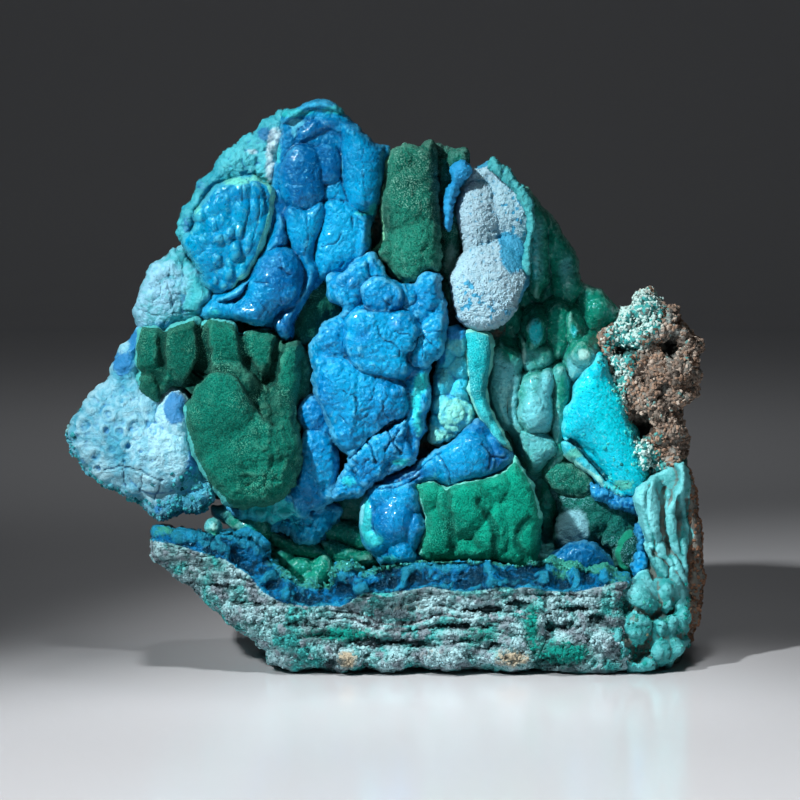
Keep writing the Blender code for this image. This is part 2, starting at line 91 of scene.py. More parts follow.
# The blue crown at the top left
CROWN = Pad(
    [
        (-26.5, 136.8), (-23.3, 138.3), (-17.5, 140), (-14.2, 139.5), (-9.4, 135), (-3.8, 129.8),
        (0.4, 127.6), (-1.2, 120.2), (-2.2, 115), (-4.2, 107.4), (-4.8, 101.6), (-7.8, 97.9),
        (-12.2, 95.6), (-16, 94.6), (-18.4, 92), (-21.6, 87), (-24, 80.4), (-26.6, 80), (-29.3, 82.7),
        (-38.8, 84.6), (-46.6, 85.4), (-45.4, 89.9), (-40, 94), (-36.8, 97.2), (-33.6, 101.2),
        (-31.6, 107.4), (-30.4, 114), (-29.2, 120), (-27.4, 127),
    ],
    -20.0, 4.0, 2.0, 12.0,
    [
        Leaf([
            (-27, 134.4), (-24, 138.3), (-17.6, 140.2), (-14, 139.8), (-9.4, 135.6), (-12.4, 136.8), (-16.4, 138.4),
            (-20.6, 138), (-24.2, 135.8),
        ], -20.6, 1.4, 0.9),
        Leaf([
            (-11.8, 132.9), (-9.5, 133.8), (-5.9, 132.9), (-2.4, 130.2), (-0.6, 127.4), (-1.3, 121.1),
            (-2, 116.7), (-3.7, 113), (-6.2, 112.1), (-9.4, 113.8), (-10.7, 116.7), (-11, 122.6), (-11.2, 127.8),
        ], -20.4, 4.0, 5.5),
        Leaf([
            (-27.1, 121.9), (-25.4, 126.3), (-22.1, 128.9), (-18.4, 127.8), (-16.2, 124.1), (-15.6, 119.7),
            (-16.5, 115.2), (-19.9, 112.7), (-23.5, 112.4), (-26.1, 114.9), (-27.2, 118.2),
        ], -20.8, 3.0, 5.0),
        Leaf([
            (-19.4, 127.6), (-16.2, 128.7), (-12.9, 128), (-11.3, 124.8), (-11.6, 121.1), (-13.2, 119.5),
            (-15.6, 119), (-17.5, 121.1), (-18.6, 124.1),
        ], -20.3, 2.2, 3.5),
        Leaf([(-15.6, 119), (-11.2, 121), (-10.6, 117.4), (-9.8, 114.7), (-14, 114.6), (-16.4, 116.5)], -19.8, 1.2, 2.5),
        Leaf([
            (-22.8, 132.2), (-19.1, 135.4), (-14.7, 135.6), (-10.3, 133.7), (-11.6, 131.2), (-14.7, 132.2),
            (-19.1, 130.4), (-22.8, 129.6),
        ], -19.4, 1.8, 2.0),
        Leaf([(-18.4, 130.2), (-14.5, 131.8), (-11.6, 131), (-11.8, 128.4), (-15.5, 128.8), (-18.6, 128.2)], -19.2, 0.9, 2.0),
        Leaf([
            (-25.4, 113), (-21.3, 112.8), (-16.8, 115), (-15.8, 110.8), (-17.3, 105.7), (-18.4, 101.2),
            (-17.9, 96.8), (-19.3, 92.4), (-21.8, 87.6), (-24.2, 81.3), (-26.9, 80.6), (-28.7, 84.3),
            (-25, 89.1), (-21.7, 92.4), (-21.5, 97.5), (-23.2, 101.2), (-24.7, 105.7), (-25.6, 109.3),
        ], -20.8, 2.8, 3.6),
        Leaf([
            (-15.4, 114.9), (-11, 114.9), (-7.3, 113.2), (-5.1, 110.1), (-4.4, 105.7), (-5.5, 101.2),
            (-8.8, 98.3), (-12.1, 96.8), (-16.2, 95), (-18, 96.8), (-18.2, 100.5), (-17.1, 105.7), (-15.8, 110.8),
        ], -20.6, 3.4, 4.5),
        Leaf([
            (-8.8, 112.3), (-5.9, 111.2), (-4.2, 107.1), (-5, 102.3), (-7.3, 99.4), (-8.2, 104.2), (-7.7, 108.6),
        ], -22.6, 2.2, 2.6),
        Leaf([
            (-34.4, 95.3), (-33.1, 98.3), (-29.8, 101.6), (-26.1, 102.7), (-22.8, 100.9), (-21.4, 96.8),
            (-21.7, 92.4), (-23.5, 88.7), (-26.5, 87.6), (-29.1, 85), (-32.4, 82.9), (-36.1, 83.5),
            (-38.9, 85.8), (-39, 88.3), (-36.1, 90.9),
        ], -22.0, 4.8, 6.0),
        Leaf([(-30.6, 93.6), (-26.6, 94.2), (-22.8, 93), (-24.6, 89), (-29.4, 88.6), (-31.6, 91)], -24.6, 2.0, 3.0),
        Leaf([
            (-26.3, 110.1), (-25.2, 107.1), (-25.4, 103.4), (-29.1, 101.5), (-32.4, 98.7), (-34.5, 95),
            (-36.8, 91.7), (-39.8, 90.5), (-42.4, 90.6), (-36.8, 94), (-33.1, 97.2), (-30.2, 102.2),
            (-28.4, 107.4), (-27.6, 111),
        ], -21.6, 2.0, 1.6),
        Leaf([(-46.8, 87.6), (-43.4, 90), (-39.8, 90), (-37.9, 89.4), (-38.7, 85.8), (-42, 85), (-45.7, 85.4)], -20.8, 1.8, 2.4),
        Lobe(-17.6, 137.4, -18.6, 6.8, 2.2, 4.0),
        Lobe(-24.2, 135.4, -17.6, 3.0, 2.2, 3.0),
    ],
)

# The round glossy disc on the crown's left
DISC = Pad(
    [
        (-36.5, 121), (-40, 119.2), (-44, 117.8), (-46, 114.6), (-48, 112.2), (-48.7, 108.6),
        (-50.8, 106), (-51, 103.5), (-49.6, 100.3), (-46.8, 97.3), (-46, 94.4), (-42.8, 91.6),
        (-38.8, 93), (-34.9, 96.4), (-32.3, 101), (-30.3, 107), (-28.7, 112.2), (-28.3, 116.4),
        (-29.7, 119.2), (-33, 120.9),
    ],
    -21.0, 3.5, 1.6, 9.0,
    [
        Lobe(-39.4, 107.0, -24.0, 12.2, 16.0, 7.5, 16),
        Leaf([(-34.6, 119.6), (-31.4, 117.2), (-30.6, 113), (-32.6, 106), (-34.2, 108.4), (-34.4, 114)], -23.0, 0.9, 2.0),
        Leaf([(-38, 119), (-34.6, 118.6), (-34.6, 113), (-36.4, 108.6), (-38.8, 111.6), (-39.4, 116)], -23.4, 0.8, 2.0),
        Leaf([(-43.4, 116.4), (-39.4, 116.8), (-39, 112), (-41.2, 110.8), (-44.4, 112.4)], -23.2, 0.8, 2.0),
        Lobe(-40.5, 110.1, -25.0, 1.9, 2.6, 4.0),
        Lobe(-43.4, 108.4, -24.6, 1.6, 2.2, 4.0),
        Lobe(-46.4, 110.2, -23.6, 2.4, 2.4, 4.0),
        Lobe(-42.3, 105.4, -24.9, 1.8, 2.2, 4.0, 10),
        Lobe(-37.6, 102.3, -25.0, 1.9, 2.7, 4.0, 8),
        Lobe(-39.4, 106.4, -25.2, 1.6, 2.5, 4.0, 6),
        Lobe(-42.7, 100.0, -24.4, 1.8, 2.0, 4.0),
        Lobe(-39.8, 97.7, -24.2, 1.5, 2.8, 4.0, 6),
        Lobe(-43.4, 95.6, -23.2, 1.7, 2.4, 4.0),
        Lobe(-41.2, 94.6, -23.2, 1.3, 2.2, 4.0),
        Lobe(-36.6, 97.8, -23.8, 1.6, 2.8, 4.0, 12),
        Lobe(-45.7, 101.2, -23.4, 2.2, 3.0, 4.0),
        Lobe(-45.4, 105.2, -23.9, 2.0, 2.0, 4.0),
        Lobe(-34.8, 103.6, -24.2, 1.6, 3.0, 4.0, 14),
        Lobe(-47.9, 105.7, -22.8, 1.7, 2.4, 4.0),
        Lobe(-33.4, 100.4, -22.8, 1.4, 2.6, 4.0, 20),
        Lobe(-36.6, 107.2, -24.6, 1.5, 2.6, 4.0, 10),
    ],
)

# The rough crust that runs round the disc up to the crown
ROUGH_CROWN = Pad(
    [
        (-26.6, 137), (-31, 134.4), (-35.3, 130.9), (-40.8, 126.6), (-43.6, 123.4), (-45, 120.6),
        (-47.4, 118.6), (-48.2, 116), (-50.6, 113.2), (-51.9, 109), (-51.8, 105.4), (-49.5, 106),
        (-48.2, 109.5), (-46.5, 113.8), (-44, 117.6), (-38.5, 119.4), (-33, 121), (-29, 118.8),
        (-27.6, 121), (-26.6, 127), (-25.6, 132),
    ],
    -15.8, 4.0, 2.2, 13.0,
    [
        Lobe(-36.0, 124.6, -17.6, 5.4, 4.6, 4.0),
        Lobe(-42.0, 120.6, -16.6, 4.0, 3.6, 4.0),
        Lobe(-30.5, 129.6, -17.4, 4.0, 6.0, 4.0, 30),
        Lobe(-30.6, 123.6, -18.2, 2.6, 4.4, 4.0),
        Lobe(-47.5, 115.6, -15.4, 3.0, 3.2, 3.5),
    ],
)

# The chalky lumps below the disc
PALE_LUMPS = Pad(
    [
        (-50.8, 103.6), (-54.2, 101.9), (-58.6, 98.4), (-60.9, 94.6), (-63.1, 89.3), (-63.2, 86.5),
        (-62.4, 83.8), (-58, 82.6), (-53, 83.2), (-46.6, 86), (-43.5, 90.2), (-45.4, 94.6),
        (-47.6, 98.4), (-49.6, 101.4),
    ],
    -17.2, 4.5, 2.8, 15.0,
    [
        Lobe(-55.8, 92.4, -19.2, 6.4, 7.4, 6.0),
        Lobe(-47.8, 92.6, -20.0, 4.4, 6.4, 5.0, 5),
        Lobe(-53.6, 100.0, -17.6, 4.6, 3.4, 4.0),
        Lobe(-60.2, 88.6, -17.0, 3.2, 4.6, 4.0),
        Lobe(-54.8, 85.4, -18.6, 8.0, 2.8, 4.0, -80),
    ],
)

# The pale plate with its ring-shaped pits
PALE_PLATE = Pad(
    [
        (-61.9, 83.6), (-64.4, 80.6), (-68.6, 74.5), (-70, 70.2), (-75.3, 65.4), (-79.2, 58.6),
        (-79.4, 53.5), (-77, 49.6), (-73.9, 46), (-68.6, 42.6), (-61.9, 39.6), (-56.2, 34.8),
        (-52.4, 36.4), (-45.2, 38), (-43.6, 42), (-46.6, 48.1), (-49.4, 57.7), (-50.2, 65),
        (-52, 68.6), (-57.1, 68), (-61.4, 69.4), (-62.2, 72), (-62, 78),
    ],
    -19.4, 4.5, 3.0, 16.0,
    [
        Lobe(-57.2, 50.6, -24.0, 6.6, 6.6, 5.0),
        Lobe(-66.0, 57.0, -21.6, 8.6, 7.4, 5.0, -30),
        Lobe(-74.0, 57.0, -19.6, 5.4, 7.4, 4.0, -20),
        Lobe(-68.6, 49.4, -20.4, 6.4, 4.0, 4.0, 30),
        Lobe(-62.4, 43.8, -19.4, 5.4, 3.0, 4.0, 20),
        Lobe(-55.6, 40.4, -19.4, 4.0, 4.4, 4.0, 20),
        Lobe(-53.2, 60.6, -23.0, 3.4, 5.6, 4.0, 8),
        Lobe(-49.6, 51.0, -21.6, 2.6, 8.0, 4.0, 14),
        Lobe(-66.2, 72.4, -16.6, 3.6, 6.4, 4.0, 20),
        Lobe(-62.4, 79.6, -17.4, 1.9, 4.6, 3.5, 0),
        Lobe(-61.0, 63.0, -20.6, 3.6, 4.6, 4.0, 20),
        Lobe(-47.0, 40.4, -19.6, 4.0, 3.0, 4.0),
    ],
)

# Each pit: its place across and up, and its radius
PLATE_PITS = [
    (-73.5, 64.3, 2.0), (-75.8, 58.8, 1.7), (-77.6, 55.2, 1.7), (-67.0, 57.0, 1.4), (-63.2, 58.2, 2.2),
    (-65.0, 53.6, 1.3), (-69.0, 52.6, 1.3), (-72.8, 51.2, 1.7), (-72.6, 47.8, 1.1), (-69.8, 61.4, 1.5),
    (-66.6, 64.8, 1.2), (-58.6, 57.2, 1.4), (-70.6, 57.4, 1.1), (-61.6, 52.2, 1.0), (-66.0, 49.6, 1.0),
]

# The velvety malachite at the left: the upper band and the big lobe below it
VELVET_LEFT = Pad(
    [
        (-61.7, 83.3), (-54.7, 83.3), (-46.6, 85.9), (-39.9, 84.7), (-35.6, 82.3), (-29.4, 82.8),
        (-25.6, 79.6), (-22.2, 79.3), (-19.3, 74), (-19.1, 66.8), (-22.3, 64.4), (-22.3, 57.3),
        (-21.5, 52), (-24.6, 42.9), (-29.4, 39.4), (-35, 38.4), (-39.9, 39.1), (-44.7, 44.3),
        (-47.8, 50.1), (-50.4, 58.2), (-50.6, 66.6), (-53.5, 68.2), (-57.1, 64), (-61.4, 66.8),
        (-62.9, 72.1), (-62.9, 78.8),
    ],
    -22.6, 5.0, 2.4, 13.0,
    [
        Lobe(-58.4, 78.0, -24.2, 4.0, 5.6, 5.5),
        Lobe(-50.9, 77.9, -27.0, 4.9, 7.6, 7.0),
        Lobe(-41.4, 78.2, -27.6, 5.6, 6.8, 7.0),
        Lobe(-35.4, 78.4, -24.6, 3.2, 4.4, 4.5),
        Lobe(-31.2, 74.4, -25.6, 5.2, 6.4, 6.5),
        Lobe(-26.4, 78.8, -21.6, 3.2, 3.2, 3.5),
        Lobe(-25.4, 68.6, -27.2, 2.8, 10.8, 5.5, 3),
        Lobe(-21.0, 71.2, -23.2, 2.0, 8.4, 4.0),
        Lobe(-59.4, 69.4, -23.4, 3.2, 4.0, 4.5),
        Lobe(-54.6, 71.2, -23.6, 3.2, 3.4, 4.0),
        Lobe(-41.8, 60.6, -34.6, 8.2, 11.4, 10.5, 4),
        Lobe(-35.2, 50.2, -34.4, 12.4, 12.0, 11.0, -6),
        Lobe(-29.4, 57.0, -30.6, 6.6, 9.6, 8.0, 8),
        Lobe(-24.6, 55.2, -26.6, 3.6, 9.0, 6.0, 4),
        Lobe(-46.6, 69.8, -23.8, 4.4, 3.6, 4.0),
    ],
)

# The crackled blue mass in the middle
BLUE_CENTRE = Pad(
    [
        (-4.2, 101.6), (-1.2, 98.5), (1.4, 95.6), (6.2, 93.4), (8, 96.2), (12.4, 96.8), (13.4, 91.2),
        (14.7, 87.3), (14.5, 81), (13.4, 76.6), (10.2, 73.5), (10.2, 70), (11.2, 64.5), (9.3, 61.4),
        (8.9, 56.4), (7.2, 50.3), (4.4, 47.9), (-2.1, 45.3), (-8.1, 41), (-14.4, 40.4), (-11.2, 47.7),
        (-10.4, 51.2), (-13.7, 55.4), (-15.4, 60.2), (-17.8, 66.2), (-18.9, 73.1), (-19.2, 79),
        (-15.9, 83.6), (-11.6, 86.8), (-14.9, 91.6), (-15.2, 96), (-11.6, 97.4), (-7.3, 100.6),
    ],
    -25.8, 4.0, 1.8, 14.0,
    [
        Leaf([
            (-9.6, 85.5), (-7.5, 87.3), (-3.8, 87), (1, 86.4), (4.7, 85.5), (7.1, 82.4), (6.8, 78.2),
            (4.9, 76.3), (4.6, 72.4), (1.7, 70.4), (-3.2, 71.5), (-7.5, 73), (-9.4, 75.7), (-9.8, 80.6),
        ], -29.6, 2.2, 7.0),
        Leaf([
            (-6.3, 93.4), (-3.2, 95.2), (0.4, 94.6), (2.9, 92.2), (2.3, 88.5), (-0.2, 86.4), (-3.2, 86.2), (-5.7, 89.1),
        ], -27.9, 1.7, 4.5),
        Leaf([
            (-12.4, 95.8), (-9.3, 98.3), (-5.7, 100.1), (-4.4, 97.1), (-6.3, 94), (-7.5, 90.4), (-9.9, 86.1),
            (-12.7, 86.7), (-13.6, 91.6),
        ], -26.6, 1.8, 3.8),
        Leaf([
            (-5.7, 100.1), (-3.8, 101.2), (0.4, 97.1), (4.7, 93.4), (6.5, 92.2), (5.3, 89), (2.9, 91.6),
            (-0.2, 94.6), (-4.4, 96.6),
        ], -25.9, 1.1, 2.5),
        Leaf([(6.8, 94), (8.4, 95.8), (12.6, 96.4), (12.9, 92.8), (12.6, 89.7), (10.2, 87.7), (7.8, 89.1)], -26.1, 1.5, 3.4),
        Leaf([
            (6.5, 79.4), (8.4, 83), (10.8, 86.1), (13.5, 85.5), (14.4, 81.2), (13.5, 77), (10.2, 73.6),
            (5.3, 73.9), (4.7, 76.3),
        ], -27.0, 2.2, 5.0),
        Leaf([
            (-16.6, 83.7), (-13, 84.5), (-10, 82.4), (-9.4, 78.8), (-9.8, 74.2), (-13.6, 73.8), (-17.8, 75.6),
            (-19.1, 79.4), (-18.4, 81.8),
        ], -26.0, 2.0, 4.5),
        Leaf([
            (-18.9, 74.6), (-13.6, 75.4), (-8.1, 74.4), (-3.2, 72.6), (1.7, 70.6), (4.3, 66.6), (4.6, 62.3),
            (2.3, 60.2), (-1.4, 58.1), (-5.3, 55), (-9.6, 50.8), (-13, 52), (-14.2, 57.5), (-16.6, 63.6), (-18.4, 69),
        ], -27.3, 3.1, 10.0),
        Leaf([
            (-9.3, 50.2), (-5, 54.3), (-0.2, 57.7), (3.9, 60), (5, 56.2), (7.3, 52), (5.9, 49.5), (1, 50.8),
            (-0.8, 48.9), (-1.4, 45.3), (-5.7, 42.8), (-8.1, 47.1),
        ], -27.0, 1.3, 3.4),
        Leaf([(-0.6, 48.6), (1.2, 50.4), (5.8, 49), (4.6, 47.6), (1, 46.4), (-1.2, 45.4)], -26.0, 0.8, 2.0),
        Leaf([(-13.6, 51.4), (-9.6, 49.8), (-8.1, 46.5), (-5.7, 42.8), (-9.9, 41), (-14.2, 40.2), (-13, 45.3)], -25.3, 1.1, 2.6),
        Leaf([
            (4.7, 73.3), (10.2, 73), (11.1, 69.6), (8.4, 67.2), (10.8, 64.8), (9, 61.1), (8.7, 57.5), (5.9, 57),
            (4.4, 61.7), (4.7, 67.2), (4.1, 69.6),
        ], -25.4, 1.0, 2.0),
        Leaf([(2.9, 88.5), (5.3, 89.4), (8.4, 88.6), (10.8, 86.7), (8.4, 83.7), (6.4, 83.6), (4.7, 85.8)], -25.4, 1.0, 2.4),
        Leaf([(-12.6, 86.4), (-9.9, 86), (-8, 87.4), (-9, 84), (-11, 82.6), (-14, 84.6)], -25.2, 0.8, 2.0),
    ],
)

# Cracks of the blue mass
CENTRE_CRACKS = [
    [(4.4, 60.6), (2.9, 59.7), (-0.8, 58), (-5.5, 54.6), (-7.3, 52.4), (-9.4, 50.7), (-12.6, 51.6)],
    [(-5.1, 54.4), (-3.6, 51.6), (-2.9, 49.2)],
    [(-0.4, 58.1), (0.6, 55), (-0.6, 52.4)],
    [(3, 57.4), (1.2, 54.6), (3.4, 51.4)],
]

# Its finer cracks
CENTRE_FINE_CRACKS = [
    [(-11, 67.4), (-7.6, 65), (-8.2, 61)], [(-9.4, 71.4), (-9.6, 67.6)], [(-3.4, 70.6), (-3.6, 66), (-5.6, 63.4)],
    [(-0.4, 66.8), (-1.4, 62.4), (0.4, 60.2)], [(7.4, 86), (8.8, 81.4), (8.6, 76)], [(13.6, 82.4), (8.8, 81.4), (6.4, 79.6)],
    [(8.8, 81.4), (12.4, 77.4)], [(-2.6, 83.6), (-1.8, 80.4), (2, 78.8), (2.6, 75.6)], [(2, 82), (5.4, 81.2)],
    [(-12.6, 61.4), (-9.4, 58.4), (-9, 55.4)], [(9, 91.8), (12.2, 91.6)], [(-1.6, 90.4), (0.8, 88.4)],
]

# The blue crescent between the big velvet lobe and the middle
BLUE_CRESCENT = Pad(
    [
        (-21.1, 58.4), (-17.6, 57.6), (-13.9, 56.2), (-12.4, 52.4), (-12.6, 45.5), (-14.6, 40.4),
        (-19.4, 36.6), (-26, 33.8), (-34, 34.8), (-39.8, 37.6), (-35, 39.6), (-29.4, 40.2),
        (-25.1, 43), (-22, 50.1), (-21.6, 55),
    ],
    -22.8, 4.0, 2.0, 12.0,
    [
        Lobe(-17.4, 51.0, -25.8, 4.4, 8.4, 5.5, -6),
        Lobe(-20.4, 44.0, -25.0, 4.2, 5.4, 4.5, 25),
        Lobe(-26.0, 38.4, -24.0, 4.6, 3.0, 4.0, -70),
        Lobe(-33.4, 37.0, -23.6, 4.4, 2.4, 3.5, 80),
        Lobe(-19.0, 39.0, -23.0, 3.4, 2.8, 3.5),
    ],
)

# The velvety malachite beside the crown
VELVET_TOP = Pad(
    [
        (0.5, 127.6), (4.1, 128.9), (7.6, 128.5), (10.2, 129.4), (11.9, 128.3), (12.4, 121),
        (13.1, 108), (13, 98), (9.5, 96.3), (6.6, 93.4), (1.4, 95.7), (-0.3, 98.6), (-4, 101.7),
        (-0.9, 105.4), (-1.7, 112), (-1.8, 115.8), (-0.9, 122),
    ],
    -20.6, 5.0, 2.4, 13.0,
    [
        Lobe(2.8, 122.6, -22.4, 4.0, 6.0, 5.5, 4),
        Lobe(9.2, 123.4, -22.0, 3.1, 5.4, 5.0, 4),
        Lobe(5.6, 113.6, -25.6, 6.4, 7.9, 7.0),
        Lobe(7.4, 103.4, -26.4, 5.6, 8.6, 7.0, -6),
        Lobe(0.4, 101.2, -22.6, 3.2, 3.8, 4.5, 35),
        Lobe(0.6, 107.6, -22.4, 2.4, 4.0, 4.0),
        Lobe(11.6, 112.8, -20.6, 1.8, 6.6, 3.5),
    ],
)

# The green band between that velvet and the white bubbles
GREEN_BAND = Pad(
    [
        (11.4, 128.2), (14, 128.2), (16.4, 127.4), (19.4, 127.6), (20.4, 124.6), (19.4, 121),
        (17.6, 118), (17.2, 111), (18.4, 104), (17.6, 99), (17.4, 92), (15.2, 88.6), (13.6, 92),
        (12.6, 97), (12.6, 108), (12, 120),
    ],
    -14.2, 3.5, 1.6, 12.0,
    [
        Lobe(18.0, 125.0, -18.0, 2.4, 2.4, 3.5),
        Lobe(14.6, 122.6, -15.6, 2.2, 4.2, 3.0),
        Lobe(14.4, 115.4, -15.4, 1.9, 4.2, 3.0),
        Lobe(15.4, 108.6, -15.8, 1.9, 4.2, 3.0),
        Lobe(15.6, 100.2, -16.2, 2.3, 6.6, 3.5),
        Lobe(15.6, 91.6, -15.6, 2.0, 4.0, 3.0),
    ],
)

# The white pebbly bubbles
WHITE = Pad(
    [
        (17.7, 118), (19.8, 121.4), (22, 123.4), (25.6, 124.3), (30.2, 121.6), (33.2, 118.9),
        (35.9, 114.9), (36.5, 111), (35.7, 105.7), (35.2, 100), (35.1, 95), (33.6, 90.6),
        (29.8, 84.4), (24, 82.2), (20.4, 83), (18.1, 85.2), (16, 90.6), (15.6, 96.1), (17.7, 100.7),
        (19, 102.6), (17.5, 108),
    ],
    -17.6, 5.0, 2.4, 13.0,
    [
        Lobe(22.4, 109.4, -22.6, 5.0, 7.8, 6.5),
        Lobe(30.2, 112.0, -20.8, 5.6, 7.6, 6.5, -12),
        Lobe(25.0, 92.2, -26.2, 9.0, 10.0, 9.0),
        Lobe(31.0, 100.4, -21.0, 4.0, 5.6, 5.0),
        Lobe(23.4, 119.6, -17.4, 4.6, 3.6, 4.0, 20),
        Lobe(30.6, 119.0, -16.4, 3.0, 4.6, 4.0, -50),
        Lobe(19.4, 116.6, -17.6, 2.4, 3.6, 4.0),
        Lobe(20.6, 101.8, -20.0, 2.6, 3.0, 4.0),
    ],
)

# The thin shell that curls round the right of the bubbles, ending in a horn
WHITE_SHELL = Pad(
    [
        (25.2, 122.8), (25.6, 125.2), (28, 124.4), (31.2, 121.2), (34.2, 118), (36.2, 114.4), (36.8, 109), (36, 103),
        (35.6, 96.6), (34.2, 96.6), (34.2, 103), (34.8, 109), (34, 113.4), (32, 116.8), (29, 119.8), (26.8, 121.6),
    ],
    -23.4, 1.8, 0.8, 14.0,
    [Lobe(27.0, 123.2, -24.0, 1.4, 1.8, 2.0, -40)],
)

# The bright blue nodule at their top left, and the strip down from it
BLUE_NODULE = Pad(
    [
        (15.8, 123.2), (17.4, 125), (20, 124.6), (21, 121.8), (18.8, 119.4), (17.2, 116), (16.2, 110.6),
        (15, 107.4), (13.8, 110), (14.2, 116), (16, 120),
    ],
    -21.6, 2.0, 1.2, 10.0,
    [
        Lobe(18.6, 122.6, -24.0, 1.7, 1.7, 2.6),
        Lobe(16.8, 121.6, -23.4, 1.4, 1.6, 2.4),
        Lobe(16.0, 117.2, -22.8, 1.2, 2.4, 2.4),
        Lobe(15.2, 112.0, -22.6, 1.2, 3.2, 2.4),
    ],
)

# Deep blue fringes under the turquoise face and beside the right wall
UNDER_FACE = Pad(
    [(51, 44.4), (54.6, 42.8), (58, 40.6), (62.2, 39.6), (62.4, 36.8), (57.6, 37.4), (53.8, 39.4), (51, 41.8)],
    -17.4, 2.0, 1.2, 8.0,
    [Lobe(54.6, 41.4, -18.6, 2.6, 1.6, 2.4, -30), Lobe(59.4, 38.8, -18.8, 2.8, 1.5, 2.4, -14)],
)
BESIDE_WALL = Pad(
    [(61.6, 33.4), (64.4, 34), (65, 26), (63.6, 21.4), (61, 21.8), (62, 26), (62.4, 30)],
    -18.4, 2.0, 1.2, 9.0,
    [Lobe(63.2, 30.6, -19.8, 1.2, 2.6, 2.4), Lobe(63.2, 24.6, -20.4, 1.5, 2.6, 2.4)],
)

# The velvety turquoise band that runs down beside the hollow
BAND = Pad(
    [
        (18.6, 82), (22, 82.7), (25.7, 81.2), (26.2, 77), (25.7, 72), (24.9, 66), (26.7, 61),
        (28.7, 57.2), (31, 52.4), (27.6, 53.6), (25.2, 57), (22.3, 61), (20.3, 66), (19.7, 72),
        (19.2, 77),
    ],
    -21.6, 3.5, 2.0, 10.0,
    [
        Lobe(22.6, 77.0, -24.2, 2.9, 7.4, 4.5),
        Lobe(22.3, 68.4, -24.6, 2.7, 6.4, 4.5),
        Lobe(24.4, 61.0, -25.4, 2.5, 5.4, 4.5, -22),
        Lobe(28.2, 55.4, -26.0, 1.8, 4.8, 4.0, -35),
    ],
)

# The broken turquoise and white patch at the left of that band
BROKEN_BAND = Pad(
    [
        (13, 77), (14.6, 81.5), (16.6, 83.4), (19.4, 82.4), (20, 77), (20.5, 72), (21, 66), (22.4, 62),
        (20.6, 58.6), (17, 56), (13.8, 53.6), (11, 53.4), (10, 57), (11, 62), (11.4, 68), (11.6, 73),
    ],
    -20.8, 3.5, 1.8, 12.0,
    [
        Lobe(17.4, 79.4, -23.4, 2.6, 3.0, 4.0, 20),
        Lobe(14.8, 76.0, -22.8, 2.2, 3.2, 4.0),
        Lobe(17.8, 73.0, -23.2, 2.6, 2.8, 4.0, -15),
        Lobe(14.2, 69.6, -23.0, 2.4, 3.6, 4.0),
        Lobe(18.4, 67.6, -22.8, 2.0, 3.2, 4.0),
        Lobe(16.6, 61.6, -24.0, 4.2, 4.2, 4.5),
        Lobe(13.2, 56.2, -22.6, 2.4, 2.4, 3.5),
        Lobe(17.2, 57.0, -22.8, 2.2, 1.8, 3.5),
        Lobe(17.6, 83.0, -20.4, 2.2, 2.0, 3.0),
    ],
)

# The lower lobe's green velvet
LOWER_GREEN = Pad(
    [
        (5.9, 43.7), (8.5, 44.6), (11.4, 45), (14.4, 43.5), (21, 45), (26.5, 46.1), (29.4, 47.8),
        (31.8, 50.6), (34.8, 46.4), (36.9, 42.2), (38.3, 34.5), (37.8, 27), (35.3, 23), (30.1, 24),
        (19.5, 25), (9.2, 24.8), (7.6, 28.3), (9, 32.3), (9, 35.6), (8.3, 38.9), (7, 41.9),
    ],
    -27.2, 5.5, 2.6, 15.0,
    [
        Lobe(10.2, 40.6, -28.4, 3.7, 3.6, 4.5),
        Lobe(19.8, 38.6, -32.6, 6.0, 6.8, 7.0),
        Lobe(13.6, 32.0, -29.6, 5.0, 6.4, 6.0),
        Lobe(26.4, 33.4, -31.6, 4.6, 6.6, 6.5, 6),
        Lobe(27.2, 43.0, -31.0, 4.2, 4.2, 5.0),
        Lobe(33.0, 36.2, -31.2, 5.4, 11.6, 7.5, -4),
        Lobe(22.6, 27.0, -29.4, 5.4, 2.8, 4.0),
        Lobe(31.0, 26.4, -28.6, 5.0, 3.0, 4.0),
        Lobe(16.4, 43.2, -28.6, 3.6, 2.6, 4.0),
    ],
)

# The lower lobe's blue side: the dome above and the lumps at the left
LOWER_BLUE = Pad(
    [
        (22.4, 60.7), (18.2, 56.7), (15.1, 53.8), (8.5, 50.1), (4.1, 47), (-1, 45.5), (-4.3, 43.7),
        (-6.5, 39.7), (-7.3, 34.5), (-6.9, 30.5), (-4.7, 27), (-1.4, 24), (4.4, 23.4), (9.6, 24.6),
        (8, 28.3), (9.4, 32.3), (9.4, 35.6), (8.7, 38.9), (7.4, 41.9), (6.4, 43.3), (8.5, 44.2),
        (11.4, 44.4), (14.4, 43), (21, 44.5), (26.5, 45.6), (29.4, 47.2), (31.6, 50.1), (30.1, 52.8),
        (27.6, 56.7),
    ],
    -24.8, 5.0, 2.2, 13.0,
    [
        Lobe(19.4, 50.0, -30.2, 6.4, 5.8, 6.5),
        Lobe(21.4, 56.4, -26.4, 4.0, 4.2, 4.5),
        Lobe(27.0, 51.4, -27.4, 3.6, 5.0, 5.0, 20),
        Lobe(12.4, 48.6, -27.0, 4.0, 3.4, 4.5, 60),
        Lobe(5.0, 45.6, -25.4, 5.4, 2.4, 4.0, 65),
        Lobe(-0.6, 40.6, -27.6, 3.6, 3.6, 4.5),
        Lobe(4.6, 40.6, -28.6, 3.2, 3.7, 4.5),
        Lobe(1.6, 34.4, -30.2, 4.4, 5.0, 5.5),
        Lobe(6.8, 32.8, -28.8, 2.6, 3.6, 4.0),
        Lobe(-4.4, 35.4, -26.0, 2.8, 4.6, 4.5),
        Lobe(3.8, 27.2, -28.4, 5.0, 2.8, 4.0, 85),
        Lobe(-2.8, 29.6, -26.6, 3.2, 3.2, 4.0),
    ],
)

